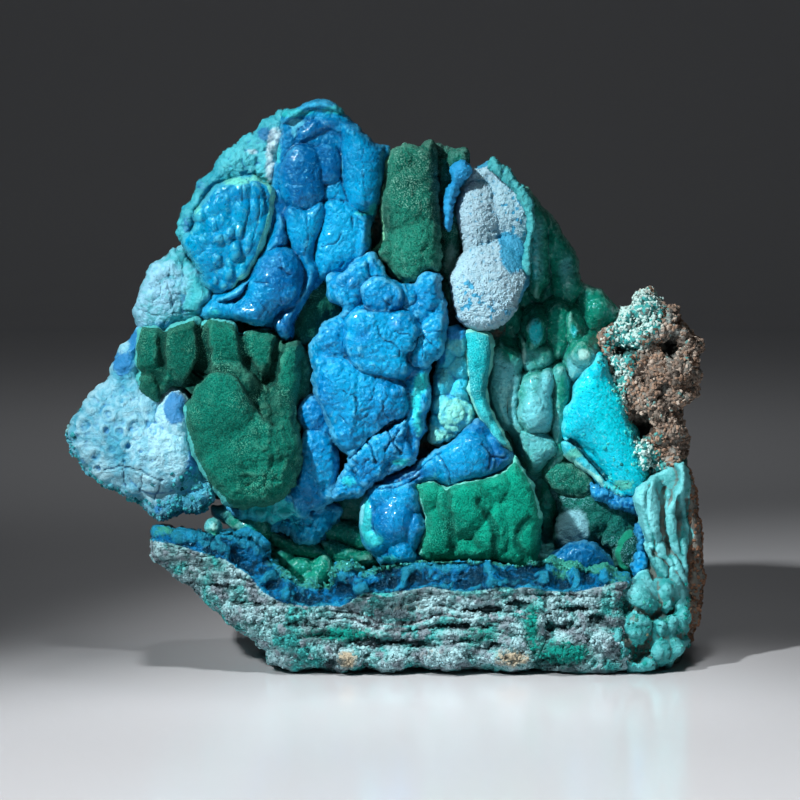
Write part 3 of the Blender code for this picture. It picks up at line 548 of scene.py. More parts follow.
# The smooth turquoise face at the right
FACE = Pad(
    [
        (53.8, 76.8), (51.4, 76.4), (49.9, 73.4), (47.7, 70.4), (46.4, 66.6), (44.2, 62.2), (42.6, 57.1),
        (42.8, 54), (44.3, 50.8), (48.8, 47.8), (51.8, 45.2), (54.4, 42.6), (58.3, 40), (61.9, 39.6),
        (63.5, 42.6), (65.4, 46.4), (63.4, 50), (62.8, 54.4), (61.2, 58), (60, 62), (58.6, 66.6),
        (56.2, 70.6), (55, 74.4),
    ],
    -15.0, 3.0, 1.6, 14.0,
    [
        Leaf([
            (48.2, 72), (50.7, 75.4), (53.6, 76.2), (55.8, 71), (58.6, 64.6), (60.4, 58), (62.4, 52.6), (65, 46),
            (61.6, 40.4), (57, 43.6), (51.5, 52.1), (45, 55.9), (43.4, 60.1), (45, 66.5),
        ], -16.4, 3.6, 9.0),
        Leaf([(43.8, 55.3), (45.8, 55.3), (49, 50.9), (54.4, 45), (60, 41), (58.6, 40), (51.5, 44.8), (47.5, 48.6), (44.2, 51.6)],
             -15.8, 1.6, 1.8),
        Lobe(52.2, 71.4, -19.6, 1.9, 2.1, 3.0),
    ],
)

# The dark speckled velvet below that face
INNER_DARK = Pad(
    [
        (38, 49.6), (41, 50.6), (44.7, 49.5), (48.5, 47.8), (51.8, 44.6), (50.9, 41.6), (47, 40.7),
        (42.1, 42.3), (39.6, 44.6),
    ],
    -12.2, 3.0, 1.8, 10.0,
    [
        Lobe(43.4, 46.2, -14.6, 4.6, 3.9, 4.0, -50),
        Lobe(48.2, 44.6, -14.4, 4.0, 3.3, 3.5, -40),
    ],
)

# The grey-green velvet under it, with its pale lobe and its dark oval
INNER_GREY = Pad(
    [
        (40.2, 43.9), (46.6, 41.3), (51.6, 44.4), (54.1, 39.6), (58.9, 37.9), (62, 38.6), (64.6, 33.6),
        (64.4, 27), (62.6, 22.6), (58.6, 21.6), (56.1, 25), (55.4, 28), (50.5, 29.6), (46, 26.4),
        (42.4, 27.4), (41.4, 31.4), (42.8, 37.7),
    ],
    -11.4, 3.0, 1.8, 11.0,
    [
        Lobe(46.4, 31.6, -14.4, 4.2, 4.9, 4.5),
        Lobe(51.4, 36.6, -14.2, 5.2, 5.6, 4.5, 20),
        Lobe(46.0, 39.6, -12.6, 4.0, 3.2, 3.5),
        Lobe(56.8, 33.6, -13.6, 3.6, 5.4, 4.5),
        Lobe(60.9, 26.8, -14.8, 3.1, 4.5, 4.5),
        Lobe(62.0, 34.4, -12.4, 2.4, 3.4, 3.5),
    ],
)

# The deep blue pebble in front of the hollow
PEBBLE = Pad(
    [
        (37.4, 22.6), (41.6, 26.5), (45.4, 29.5), (49.8, 29.7), (53.5, 27.3), (56.5, 23.2),
        (53.3, 20.8), (46, 19.8), (40, 20.6),
    ],
    -23.0, 5.0, 2.4, 11.0,
    [
        Lobe(48.0, 24.6, -28.4, 6.6, 5.2, 6.5),
        Lobe(42.2, 23.2, -25.6, 3.4, 2.8, 4.0),
        Lobe(53.6, 23.4, -26.0, 2.6, 3.0, 4.0),
    ],
)

# The layered wall at the right, and the green lumps at its foot
WALL = Pad(
    [
        (61.4, 41.4), (65.6, 45.4), (68.2, 47), (71, 49), (74.6, 49), (76.6, 44), (77.2, 38),
        (78, 30), (78.6, 22), (78, 13), (76, 5.4), (73.6, 2), (71.6, -2), (66, -3), (60.6, -3),
        (57.4, 1.6), (56.6, 10), (57.4, 16.4), (60.6, 20), (63.6, 23.6), (64, 28), (62.6, 34),
    ],
    -18.6, 4.0, 2.0, 34.0,
    [
        Leaf([(62, 42.2), (66.5, 44.4), (67.7, 39), (68.7, 30.6), (66.5, 29.7), (63.9, 33.8), (61.8, 38.3)], -22.0, 3.0, 3.0),
        Leaf([
            (68, 46.7), (70.9, 48.6), (72.9, 44.7), (70.9, 41), (69.6, 37), (69.6, 32), (72.2, 25), (74.4, 21.7),
            (74.8, 27.4), (72.6, 35.8), (73.8, 42.2), (74.6, 48), (72.6, 50),
        ], -20.6, 2.2, 1.6),
        Leaf([(68.4, 42), (70.6, 40), (71.4, 34), (69.4, 29.6), (68.2, 34)], -20.2, 1.6, 1.4),
        Leaf([(65.2, 29.7), (69, 30), (72.9, 22.9), (74.8, 18.6), (72.2, 20), (69, 24.2), (66.5, 26.6)], -21.8, 2.0, 1.8),
        Leaf([(64, 29.2), (66.4, 27.4), (69.6, 22.9), (69.6, 19.8), (66.5, 23.8)], -23.0, 2.0, 1.4),
        Leaf([(70.4, 23), (73.4, 18.4), (73.4, 14.4), (71, 16.4), (69.6, 20)], -22.6, 2.0, 1.6),
        Leaf([(75.4, 47), (76.8, 41), (77.6, 30), (78, 20), (76.4, 16), (75.6, 24), (75.2, 34)], -16.6, 2.4, 2.0),
        Leaf([(69, 19.1), (71.6, 16.5), (69.7, 10.8), (67.1, 13.3)], -27.0, 2.8, 2.0),
        Leaf([(72.2, 13.6), (75.4, 10.6), (72.9, 4.6), (70.6, 8.8)], -26.0, 2.4, 2.0),
        Leaf([(58.1, 18.2), (63.9, 18.4), (67.6, 14), (63.9, 11.6), (59.6, 13)], -31.4, 3.4, 3.6),
        Leaf([(59, 11.4), (62, 13.6), (64.8, 10.1), (64.2, 5), (61.3, 3), (58.4, 6.3)], -33.0, 3.2, 3.6),
        Leaf([(63.9, 5), (65.4, 9.6), (69.4, 10.4), (73, 4.4), (71.6, -2), (64, -2.4)], -30.4, 3.4, 4.5),
        Leaf([(51.4, 3.7), (55.6, 6.2), (60, 4), (59.6, 0.3), (53.6, -0.6)], -36.4, 2.4, 2.6),
        Leaf([(56, 0.6), (60, 1.6), (65, 0.6), (66, -3), (58, -3.6)], -34.4, 2.0, 2.4),
    ],
)

# The granular rock at the right edge
MATRIX = Pad(
    [
        (52, 81.4), (54.6, 84.6), (58.2, 87), (61.4, 89), (63.8, 92.2), (66, 92.8), (68.6, 89.6),
        (72, 87.6), (74.4, 83.4), (77.6, 78.4), (77.9, 72.6), (77, 66.5), (73.8, 62.4), (74.8, 56.4),
        (74.6, 50.6), (76, 45.2), (73.4, 42.4), (68.6, 42.2), (64.4, 45.2), (60.2, 49.4), (59, 54.6),
        (56.8, 57.4), (56.2, 62), (55.7, 67), (53.8, 71), (53, 76),
    ],
    -14.6, 5.0, 2.2, 20.0,
    [
        Lobe(65.4, 87.4, -16.6, 4.2, 5.2, 5.0),
        Lobe(58.8, 84.6, -16.0, 4.2, 4.0, 4.5, 30),
        Lobe(71.4, 82.4, -16.6, 3.2, 5.0, 4.5, -20),
        Lobe(65.4, 79.4, -18.0, 4.6, 4.4, 4.5),
        Lobe(75.4, 74.6, -14.4, 2.3, 6.0, 4.0, -10),
        Lobe(69.6, 72.4, -19.6, 4.8, 4.8, 5.0),
        Lobe(61.4, 73.0, -17.6, 4.4, 4.6, 4.5),
        Lobe(67.4, 64.6, -20.0, 5.0, 5.0, 5.0),
        Lobe(60.4, 66.0, -17.6, 3.6, 4.2, 4.0),
        Lobe(73.2, 66.6, -16.8, 3.2, 4.0, 4.0),
        Lobe(70.4, 57.2, -19.0, 4.0, 5.0, 4.5),
        Lobe(64.0, 52.4, -18.8, 4.4, 3.8, 4.0),
        Lobe(71.0, 49.6, -17.8, 4.2, 4.2, 4.5),
        Lobe(60.0, 79.0, -15.6, 3.0, 3.0, 3.5),
    ],
)

# The layered slab that the rest stands on
SLAB = Pad(
    [
        (-58.9, 30.2), (-58.2, 32.4), (-52, 32.8), (-45.7, 31.8), (-38, 31.4), (-31.4, 30.2),
        (-29.2, 26.6), (-27.4, 23), (-24.4, 20.2), (-20, 18.6), (-15.6, 19.2), (-13.4, 22), (-9, 23.4),
        (-5.6, 21.6), (-1.6, 24), (4, 24.2), (13, 24.6), (26, 24.6),
        (38, 24.6), (50, 23), (58, 21.6), (60.4, 18.6), (59, 14), (60, 9), (58.6, 4), (60.6, 0), (58, -3.4),
        (44, -3.6), (36, -2.2), (30, -3.4), (22, -1.8), (14, -2.8), (7, -1.6), (0, -3.6), (-5, -2), (-12, -3.6),
        (-16, -1.8), (-22, -2.8), (-28.6, -0.8),
        (-31.4, 3.2), (-35.7, 6.5), (-40.5, 10.3), (-45.3, 14.4), (-49.1, 18.6), (-53.9, 21.8),
        (-58.2, 25.4),
    ],
    -36.0, 6.0, 3.0, 54.0,
    [],
)

# The upper edge of the slab's broken face, where its blue crust begins
CRUST_LINE = [
    (-59, 29.8), (-53.4, 29.2), (-47.6, 27.4), (-40.5, 24.8), (-35.2, 21), (-31.4, 17), (-27.6, 14.4),
    (-21.3, 13.4), (-11.8, 13.4), (-7, 16.1), (5, 17), (10.5, 18.3), (20.1, 16.8), (29.6, 18.3),
    (39.2, 17.3), (48.8, 17.3), (56, 19), (66, 20),
]

# Blue beads on the slab's crust, and lumps along its foot
SLAB_LOBES = [
    Lobe(-11.4, 21.0, -38.8, 3.6, 2.9, 5.0),
    Lobe(-6.4, 18.8, -38.8, 2.6, 2.5, 4.0),
    Lobe(-1.6, 21.6, -38.8, 3.0, 2.6, 4.0),
    Lobe(55.4, 4.2, -38.2, 4.6, 2.8, 4.0),
    Lobe(45.0, 2.6, -38.0, 5.4, 3.0, 4.0),
    Lobe(36.6, 9.4, -38.0, 2.4, 6.4, 3.5),
    Lobe(31.0, 0.8, -38.2, 5.0, 3.6, 4.0),
    Lobe(-10.4, 0.2, -38.2, 3.2, 3.0, 4.5),
    Lobe(-18.0, 2.8, -38.0, 5.0, 3.2, 4.5),
    Lobe(-26.0, 4.4, -38.0, 4.4, 3.6, 4.0),
    Lobe(0.0, -0.4, -38.0, 5.6, 2.8, 4.0),
    Lobe(15.0, 1.6, -38.0, 6.6, 3.4, 4.0),
    Lobe(-34.0, 10.4, -37.4, 5.0, 2.6, 4.0, 40),
    Lobe(-44.0, 17.6, -37.2, 5.4, 2.2, 4.0, 40),
    Lobe(14.0, 20.6, -37.4, 5.0, 2.4, 3.6),
    Lobe(26.0, 20.6, -37.4, 4.0, 2.6, 3.6),
    Lobe(36.0, 20.0, -37.6, 4.0, 3.0, 3.6),
]

# Pits in the slab's broken face, painted dark as shade: across, up, half width, half height, depth
SLAB_PITS = [
    (24.0, 12.6, 5.0, 1.3, 3.0), (33.0, 13.8, 3.0, 1.2, 2.6), (17.0, 8.4, 8.0, 1.0, 2.4), (46.0, 12.6, 4.6, 0.9, 2.2),
    (-3.0, 4.4, 6.0, 1.2, 2.0), (42.0, 8.4, 4.4, 1.2, 2.4), (52.0, 10.4, 2.4, 1.4, 2.2), (40.0, -0.4, 4.0, 1.4, 2.4),
    (-22.0, 8.6, 4.4, 1.0, 1.8), (8.0, 3.6, 3.4, 1.2, 1.8), (26.6, 3.6, 2.4, 1.6, 2.2), (-14.0, -0.6, 1.6, 1.8, 2.0),
    (-34.0, 14.0, 4.0, 0.9, 1.4), (-42.0, 18.6, 4.0, 0.8, 1.2), (-5.6, -1.4, 1.4, 1.6, 2.0),
]

# The hollow at the right: glassy grey-green bulbs and folds below, velvety drapes above
HOLLOW = Pad(
    [
        (34, 118), (38.5, 113.5), (42.5, 109), (44.6, 105), (47.6, 100), (48.4, 94.8), (53, 93.2),
        (55.8, 89.6), (58, 87), (58, 80), (56, 74), (57, 66), (58, 55), (60, 46), (62, 38), (64, 30),
        (64, 22), (56, 20), (44, 20), (38, 24), (36, 32), (34, 40), (31, 48), (28, 52), (24, 58),
        (23.4, 66), (25, 72), (26, 80), (28, 86), (31, 92), (32, 100), (32, 110),
    ],
    -5.6, 3.0, 2.0, 12.0,
    [
        Leaf([(25.8, 76.2), (29, 79.4), (33, 76.2), (32.6, 70.5), (30.2, 63.3), (31, 58.5), (28.2, 59.3), (25.4, 66.5)], -14.0, 3.2, 4.0),
        Leaf([(30.4, 70.5), (33, 70), (32.4, 62), (34.6, 58), (33, 56.4), (30.4, 60)], -15.2, 1.4, 2.0),
        Leaf([
            (33.8, 69.7), (37, 71.3), (39.8, 69.7), (40.8, 64.9), (40.8, 60.1), (37.8, 57.5), (34.2, 59),
            (32.6, 64.9),
        ], -15.4, 3.0, 4.0),
        Lobe(36.6, 61.8, -20.6, 3.0, 3.8, 4.5),
        Lobe(39.0, 67.6, -18.0, 1.8, 3.4, 4.0, 10),
        Leaf([(41, 71.3), (43.8, 73), (45.2, 68.1), (44.2, 61.7), (43.4, 55.3), (41, 53.7), (40.8, 60), (41.2, 66.5)], -13.6, 2.4, 2.6),
        Leaf([(33, 57), (36.2, 57.9), (40.2, 55.3), (41.8, 52.1), (39.4, 49.7), (37, 47.3), (34.2, 52.1)], -15.0, 2.4, 3.0),
        Leaf([(40.6, 55.6), (43.6, 55.4), (43.4, 50.6), (39.6, 47), (40.6, 51.4)], -13.4, 1.4, 2.0),
        Leaf([(33.4, 81), (35.4, 79.6), (40.6, 78.4), (40.4, 74.6), (37, 71.6), (34, 73)], -12.6, 1.6, 2.2),
        Leaf([(35, 78.6), (35.2, 83.8), (37, 85.8), (39, 84.2), (38.2, 79.4)], -13.4, 2.0, 1.8),
        Leaf([(39.4, 83.4), (40.6, 87.4), (43.4, 89), (45.5, 85.8), (45.5, 78.6), (42.6, 75.4), (40.2, 78.6)], -10.6, 3.0, 4.0),
        Leaf([(45.4, 86.4), (48.7, 80.6), (46.7, 78.4), (44.5, 82)], -13.2, 1.8, 1.6),
        Leaf([(44.8, 74.6), (46.5, 78.4), (49, 79.8), (51.8, 78), (51.2, 74), (47.5, 71.1), (45.3, 70.3)], -13.8, 2.0, 2.0),
        Lobe(48.8, 76.4, -18.8, 2.2, 2.2, 2.6),
        Leaf([(35, 117), (39.6, 112.6), (40.9, 104), (39.4, 94), (37.4, 89.6), (35, 94), (34, 104)], -7.2, 3.6, 3.0),
        Leaf([(40, 111), (43.6, 107.6), (46.8, 101), (47.9, 95), (46.4, 89), (43, 88.6), (40.8, 94), (40.2, 102)], -6.6, 3.0, 4.0),
        Lobe(44.6, 95.6, -10.4, 2.8, 4.6, 4.0, -8),
        Lobe(42.6, 104.0, -9.6, 2.0, 4.2, 3.5, 12),
        Leaf([(48, 94.6), (52.6, 93.2), (55.4, 89.4), (57, 85.6), (53, 81.6), (48.4, 80.6), (46.4, 86)], -6.0, 3.2, 5.0),
        Lobe(52.2, 87.4, -10.4, 2.8, 3.0, 4.0),
        Lobe(30.6, 83.4, -9.6, 3.2, 5.0, 5.0),
        Lobe(39.6, 40.0, -10.0, 3.0, 7.0, 6.0),
    ],
)

# The cave over the slab's left: long grey-green lobes, green bulbs and two knobs
CAVE = Pad(
    [
        (-44.6, 37.6), (-39.5, 39.4), (-30, 39), (-18, 40), (-8, 42), (-2, 42), (-2, 28), (-3, 18),
        (-12, 16), (-24, 16), (-29, 20), (-33, 27), (-37.4, 30), (-38.4, 33), (-42, 34.8),
    ],
    -9.6, 3.0, 1.8, 12.0,
    [
        Leaf([(-44, 37.5), (-39.5, 39), (-34.5, 37.5), (-33.7, 35), (-37.8, 34.6), (-42, 35)], -13.0, 2.4, 2.4),
        Leaf([(-38.2, 33.4), (-36, 35.6), (-32.4, 35.6), (-30, 33), (-31.6, 30.6), (-36.6, 30.8)], -20.0, 3.0, 2.4),
        Leaf([(-29.8, 32.2), (-25.3, 31.2), (-17, 27.5), (-15, 25.6), (-18.7, 25), (-24.5, 26.9), (-29, 29)], -14.6, 3.0, 2.4),
        Leaf([(-17, 29.2), (-12, 28.4), (-5.3, 26.4), (-4, 24.2), (-10.3, 23.4), (-15.6, 25.2)], -13.6, 2.6, 2.2),
        Leaf([(-16, 33.4), (-10, 34.4), (-4.6, 32), (-5.4, 28.2), (-11, 28.6), (-16.4, 30)], -11.6, 2.4, 2.4),
        Lobe(-26.2, 24.8, -18.4, 2.6, 2.8, 4.0),
        Lobe(-22.0, 21.9, -20.0, 3.0, 2.9, 4.0),
        Lobe(-16.6, 22.1, -20.6, 2.2, 2.8, 4.0),
        Lobe(-19.0, 19.4, -21.6, 2.6, 2.0, 4.0),
        Lobe(-29.4, 27.4, -15.4, 2.2, 3.0, 4.0),
        Lobe(-13.0, 21.4, -17.0, 2.4, 2.4, 4.0),
    ],
)

KNOBS = [Lobe(-43.7, 33.0, -27.0, 2.1, 2.5, 2.4), Lobe(-43.7, 30.4, -28.0, 1.6, 2.4, 4.0)]

# The crackled foot under the blue crescent
CRESCENT_FOOT = Pad(
    [
        (-34.5, 39), (-30.3, 42.4), (-26, 40), (-18.7, 40), (-12.6, 38), (-13.6, 33.4), (-15.4, 30.6),
        (-20.3, 29.2), (-25, 31.4), (-29, 33), (-33.6, 34.4),
    ],
    -17.4, 3.0, 1.6, 9.0,
    [
        Leaf([(-34.1, 39), (-30.3, 42.1), (-26.2, 40), (-25.3, 35.8), (-28.7, 33.4), (-32.8, 34.8)], -19.4, 3.4, 3.4),
        Leaf([(-27, 34), (-24.5, 37.5), (-18.7, 39.4), (-14, 35.4), (-15.6, 30.8), (-20.3, 29.6), (-24.5, 31.6)], -18.6, 2.6, 3.4),
    ],
)

# The dark blue knob between the big velvet lobe and the middle
BLUE_KNOB = Pad(
    [(-22.4, 63.6), (-19.6, 66.4), (-16.6, 66), (-14.4, 61), (-13.4, 57), (-16.4, 54.6), (-21, 56.4)],
    -21.4, 3.0, 1.8, 9.0,
    [Lobe(-18.4, 61.4, -24.6, 3.6, 4.2, 5.0), Lobe(-15.4, 58.0, -23.6, 2.2, 2.8, 4.0)],
)

# Velvet in the shade under the crown
VELVET_NOOK = Pad(
    [
        (-13.2, 96), (-11.6, 91), (-12, 86), (-15.5, 83.4), (-18.4, 79.6), (-26, 78.6), (-26.6, 82), (-22.5, 88),
        (-20, 93), (-17, 97),
    ],
    -15.4, 3.0, 1.6, 9.0,
    [Lobe(-18.6, 87.0, -19.6, 3.8, 7.4, 5.5, 24), Lobe(-14.2, 89.4, -18.4, 2.0, 4.4, 4.0)],
)

UPPER_CORE = [
    Level(41, -53, 8, -9, 14),
    Level(50, -68, 14, -10, 20),
    Level(57, -73, 14, -10, 23),
    Level(68, -66, 14, -9, 25),
    Level(80, -58, 15, -9, 26),
    Level(92, -57, 17, -8, 26),
    Level(105, -46, 19, -8, 24),
    Level(116, -41, 17, -8, 20),
    Level(124, -34, 0, -8, 11),
    Level(131, -26, -14, -8, 6),
]

FRONT_CORE = [
    Level(44, -46, 8, -14, 5),
    Level(58, -56, 12, -14, 5),
    Level(72, -58, 14, -13, 5),
    Level(86, -54, 15, -13, 5),
    Level(100, -48, 14, -12, 5),
    Level(112, -44, 14, -12, 5),
    Level(122, -34, 8, -11, 5),
    Level(130, -26, -12, -10, 5),
]

MIDDLE_CORE = [
    Level(30, -4, 36, -14, 6),
    Level(50, -4, 32, -14, 6),
    Level(66, 8, 27, -13, 6),
    Level(84, 10, 31, -11, 6),
    Level(104, 8, 33, -9, 6),
    Level(114, 8, 31, -8, 6),
    Level(119, 12, 25, -8, 6),
]

HOLLOW_BACK = [
    Level(16, -24, 70, 1, 26),
    Level(36, -20, 72, 3, 28),
    Level(50, -8, 72, 3, 28),
    Level(70, 6, 67, 3, 27),
    Level(82, 8, 62, 4, 25),
    Level(92, 8, 50, 5, 23),
    Level(104, 10, 42, 5, 21),
    Level(112, 12, 37, 4, 18),
    Level(120, 13, 30, 3, 13),
]

WALL_CORE = [
    Level(0, 60, 73, -20, 20),
    Level(10, 60, 75, -18, 20),
    Level(24, 63, 76, -13, 20),
    Level(40, 61, 74, -10, 20),
    Level(55, 58, 73, -9, 18),
    Level(69, 56, 74, -8, 15),
    Level(80, 56, 72, -8, 12),
]


def srgb(red, green, blue):
    """A colour's linear values from its 0 to 255 screen values."""
    shares = [value / 255 for value in (red, green, blue)]
    return tuple(s / 12.92 if s <= 0.04045 else ((s + 0.055) / 1.055) ** 2.4 for s in shares)


def tint(name, description, red, green, blue):
    """A colour that the user can change."""
    return FloatVectorProperty(
        name=name,
        description=description,
        subtype="COLOR",
        size=3,
        min=0,
        max=1,
        default=srgb(red, green, blue),
    )


def length(name, description, default):
    """A length that the user can change."""
    return FloatProperty(
        name=name,
        description=description,
        default=default,
        min=default / 3,
        subtype="DISTANCE",
        unit="LENGTH",
        precision=5,
    )


class SpecimenSettings(PropertyGroup):
    """Sizes and colours of the specimen."""

    skin_grain: length("Skin grain", "Size of the finest facet on the front skins", 0.33 * MM)
    slab_grain: length("Slab grain", "Size of the finest facet on the slab", 0.5 * MM)
    core_grain: length("Core grain", "Size of the finest facet on the rock behind the skins", 1.1 * MM)
    bright_blue: tint("Bright blue", "Chrysocolla on the crests of the lobes", 0, 132, 180)
    deep_blue: tint("Deep blue", "Chrysocolla where it is thick and glassy", 0, 80, 134)
    glossy_teal: tint("Glossy teal", "Chrysocolla of the round glossy disc", 0, 134, 174)
    pale_blue: tint("Pale blue", "Chalky chrysocolla crust", 128, 188, 212)
    white_blue: tint("White", "Pebbly white crust", 140, 172, 186)
    turquoise: tint("Turquoise", "Thin turquoise layers and rims", 34, 174, 190)
    cream: tint("Cream", "Palest layer of the banded edges", 150, 205, 190)
    velvet_green: tint("Velvet green", "Malachite's velvety lobes", 6, 112, 96)
    dark_green: tint("Dark green", "Malachite in the shade of its creases", 3, 50, 44)
    grey_green: tint("Grey green", "Glassy inner lobes", 70, 150, 158)
    rock_brown: tint("Rock brown", "Iron-stained host rock", 122, 112, 102)
    rock_grey: tint("Rock grey", "Granular host rock", 148, 186, 192)


# Place and shape


def sight_axes():
    """The eye's place, the way it looks and the way that is up for it."""
    tilt = math.radians(SIGHT_TILT_DEG)
    sight = Vector((0.0, math.cos(tilt), -math.sin(tilt)))
    upright = Vector((0.0, math.sin(tilt), math.cos(tilt)))
    eye = Vector((SIGHT_CENTRE[0], 0.0, SIGHT_HEIGHT)) - sight * SIGHT_DISTANCE
    return eye, sight, upright


def seen_at(across, up, depth):
    """The points at these depths that the viewer sees at across and up, in millimetres."""
    across, up, depth = np.broadcast_arrays(*(np.asarray(v, dtype=float) for v in (across, up, depth)))
    eye, sight, upright = (np.array(axis) for axis in sight_axes())
    rays = sight * SIGHT_DISTANCE + upright * (up[..., None] - SIGHT_CENTRE[1])
    rays[..., 0] = across - SIGHT_CENTRE[0]
    return eye + rays * ((depth - eye[1]) / rays[..., 1])[..., None]


def front_view(points):
    """Across and up, as the viewer sees them, of points in millimetres."""
    eye, sight, upright = (np.array(axis) for axis in sight_axes())
    offset = points - eye
    reach = SIGHT_DISTANCE / (offset @ sight)
    return np.stack([SIGHT_CENTRE[0] + offset[:, 0] * reach, SIGHT_CENTRE[1] + offset @ upright * reach], axis=1)


class Clay:
    """Closed shapes that are kneaded into one skin."""

    def __init__(self):
        self.points = []
        self.faces = []
        self.count = 0

    def add(self, points, *face_groups):
        for faces in face_groups:
            self.faces += (np.asarray(faces) + self.count).tolist()
        self.points.append(points)
        self.count += len(points)

    def ball(self, centre, half_sizes, lean=0.0, detail=3):
        """An ellipsoid that leans in the viewer's plane."""
        points, faces = unit_ball(detail)
        points = points * half_sizes
        c, s = math.cos(math.radians(lean)), math.sin(math.radians(lean))
        turned = [points[:, 0] * c + points[:, 2] * s, points[:, 1], points[:, 2] * c - points[:, 0] * s]
        self.add(np.stack(turned, axis=1) + centre, faces)

    def lobe(self, lobe):
        half_sizes = (lobe.half_width, lobe.half_depth, lobe.half_height)
        self.ball(lobe_centre(lobe), half_sizes, lobe.lean, detail=5 if lobe.half_height > 4 else 4)

    def ridge(self, ridge):
        """A cord of overlapping balls, thinner at its two ends."""
        line = smooth_line(ridge.points, ridge.half_width * 0.5)
        for i, (across, up, front) in enumerate(line):
            share = min(1.0, 0.45 + 0.2 * min(i, len(line) - 1 - i))
            width, depth = ridge.half_width * share, ridge.half_depth * share
            self.ball(seen_at(across, up, front + depth), (width, depth, width), detail=2)

    def body(self, levels, corners=48, squareness=3.2, step=2.0):
        """A closed upright body through its levels."""
        stations = []
        for first, second in zip(levels, levels[1:]):
            count = max(1, round((second.up - first.up) / step))
            shares = np.arange(count)[:, None] / count
            stations.append(np.array(first) + (np.array(second) - np.array(first)) * shares)
        stations = np.concatenate([*stations, [levels[-1]]])
        up, left, right, front, back = stations.T
        angles = 2 * math.pi * np.arange(corners) / corners
        c, s = np.cos(angles), np.sin(angles)
        reach = (abs(c) ** squareness + abs(s) ** squareness) ** (-1 / squareness)
        middle = (front + back) / 2
        ends = seen_at(left, up, middle), seen_at(right, up, middle)
        centres = (ends[0] + ends[1]) / 2
        rings = centres[:, None, :] + np.zeros((1, corners, 3))
        rings[..., 0] += (ends[1] - ends[0])[:, :1] / 2 * (reach * c)
        rings[..., 1] += ((back - front) / 2)[:, None] * (reach * s)
        index = np.arange(len(stations) * corners).reshape(-1, corners)
        after = np.roll(index, -1, axis=1)
        walls = np.stack([index[:-1], after[:-1], after[1:], index[1:]], axis=-1).reshape(-1, 4)
        low, high = index.size, index.size + 1
        caps = [(low, after[0, i], index[0, i]) for i in range(corners)]
        caps += [(high, index[-1, i], after[-1, i]) for i in range(corners)]
        self.add(np.concatenate([rings.reshape(-1, 3), centres[:1], centres[-1:]]), walls, caps)

    def pad(self, pad, step):
        """One patch of skin over its outline: a front with lobes, and a plainer back."""
        places, inside, cells, coarse = outline_cells(pad.outline, step)
        edge = inside <= 0
        fronts = pad_front(pad, places)
        rims = fronts + pad.drop
        depth = rims - pad.drop * dome(inside, pad.round)
        share = dome(inside, pad.round * 2.2)
        backs = rims + (pad.base + pad.drop - rims) * share + pad.thick * share
        turned = np.cumsum(~edge) - 1 + len(places)
        behind = np.where(edge, np.arange(len(places)), turned)
        points = np.concatenate([
            seen_at(places[:, 0], places[:, 1], depth),
            seen_at(places[~edge, 0], places[~edge, 1], backs[~edge]),
        ])
        back = behind[coarse[cells][:, ::-1]]
        back = np.concatenate([back[:, :3], back[:, [0, 2, 3]]])
        a, b, c = back.T
        back = back[(a != b) & (b != c) & (c != a)]
        used, back = np.unique(back, return_inverse=True)
        kept = np.concatenate([np.arange(len(places)), used[used >= len(places)]])
        back = np.searchsorted(kept, used)[back].reshape(-1, 3)
        self.add(points[kept], cells, back)


def ring_sides(data, longest, cuts):
    """Cuts the long faces of a skin's sides into rings, so that its relief can work on them."""
    mesh = bmesh.new()
    mesh.from_mesh(data)
    stretched = [edge for edge in mesh.edges if edge.calc_length() > longest]
    bmesh.ops.subdivide_edges(mesh, edges=stretched, cuts=cuts, use_grid_fill=True)
    mesh.to_mesh(data)
    mesh.free()


@lru_cache
def unit_ball(detail):
    """The points and triangles of a ball of radius 1."""
    mesh = bmesh.new()
    bmesh.ops.create_icosphere(mesh, subdivisions=detail, radius=1.0)
    mesh.verts.index_update()
    points = np.array([v.co[:] for v in mesh.verts])
    faces = np.array([[v.index for v in face.verts] for face in mesh.faces])
    mesh.free()
    return points, faces


def lobe_centre(lobe):
    return seen_at(lobe.across, lobe.up, lobe.front + lobe.half_depth)


def dome(inside, reach):
    """Rises from 0 at an edge to 1 at a reach inside it, round like a quarter circle."""
    share = np.clip(inside / reach, 0, 1)
    return np.sqrt(1 - (1 - share) ** 2)


def smooth_line(points, step, closed=False):
    """Points about one step apart on a smooth curve through the given ones."""
    path = [np.array(p, dtype=float) for p in points]
    if closed:
        path = [path[-1], *path, path[0], path[1]]
    else:
        path = [path[0] * 2 - path[1], *path, path[-1] * 2 - path[-2]]
    line = []
    for a, b, c, d in zip(path, path[1:], path[2:], path[3:]):
        count = max(1, round(float(np.linalg.norm(c - b)) / step))
        for t in np.arange(count) / count:
            curve = (c - a) * t + (2 * a - 5 * b + 4 * c - d) * t**2 + (3 * b - a - 3 * c + d) * t**3
            line.append(b + 0.5 * curve)
    if not closed:
        line.append(path[-2])
    return line


def cap_depths(places, lobe):
    """The depth of a lobe's front at each place, falling away steeply outside the lobe."""
    c, s = math.cos(math.radians(lobe.lean)), math.sin(math.radians(lobe.lean))
    offset = places - (lobe.across, lobe.up)
    side = (offset[:, 0] * c - offset[:, 1] * s) / lobe.half_width
    along = (offset[:, 0] * s + offset[:, 1] * c) / lobe.half_height
    reach = np.hypot(side, along)
    cap = 1 - np.sqrt(np.clip(1 - (reach * 0.74) ** 2, 0, 1)) + np.clip(reach - 1.35, 0, None) * 2
    return lobe.front + lobe.half_depth * cap


def front_depths(places, shape):
    """The depth of the front of a lobe or a leaf at each place."""
    if isinstance(shape, Lobe):
        return cap_depths(places, shape)
    inside = inside_by(places, smooth_line(shape.outline, 1.0, closed=True))
    return shape.edge - shape.rise * dome(inside, shape.reach) + np.clip(-inside, 0, None) * 2.5


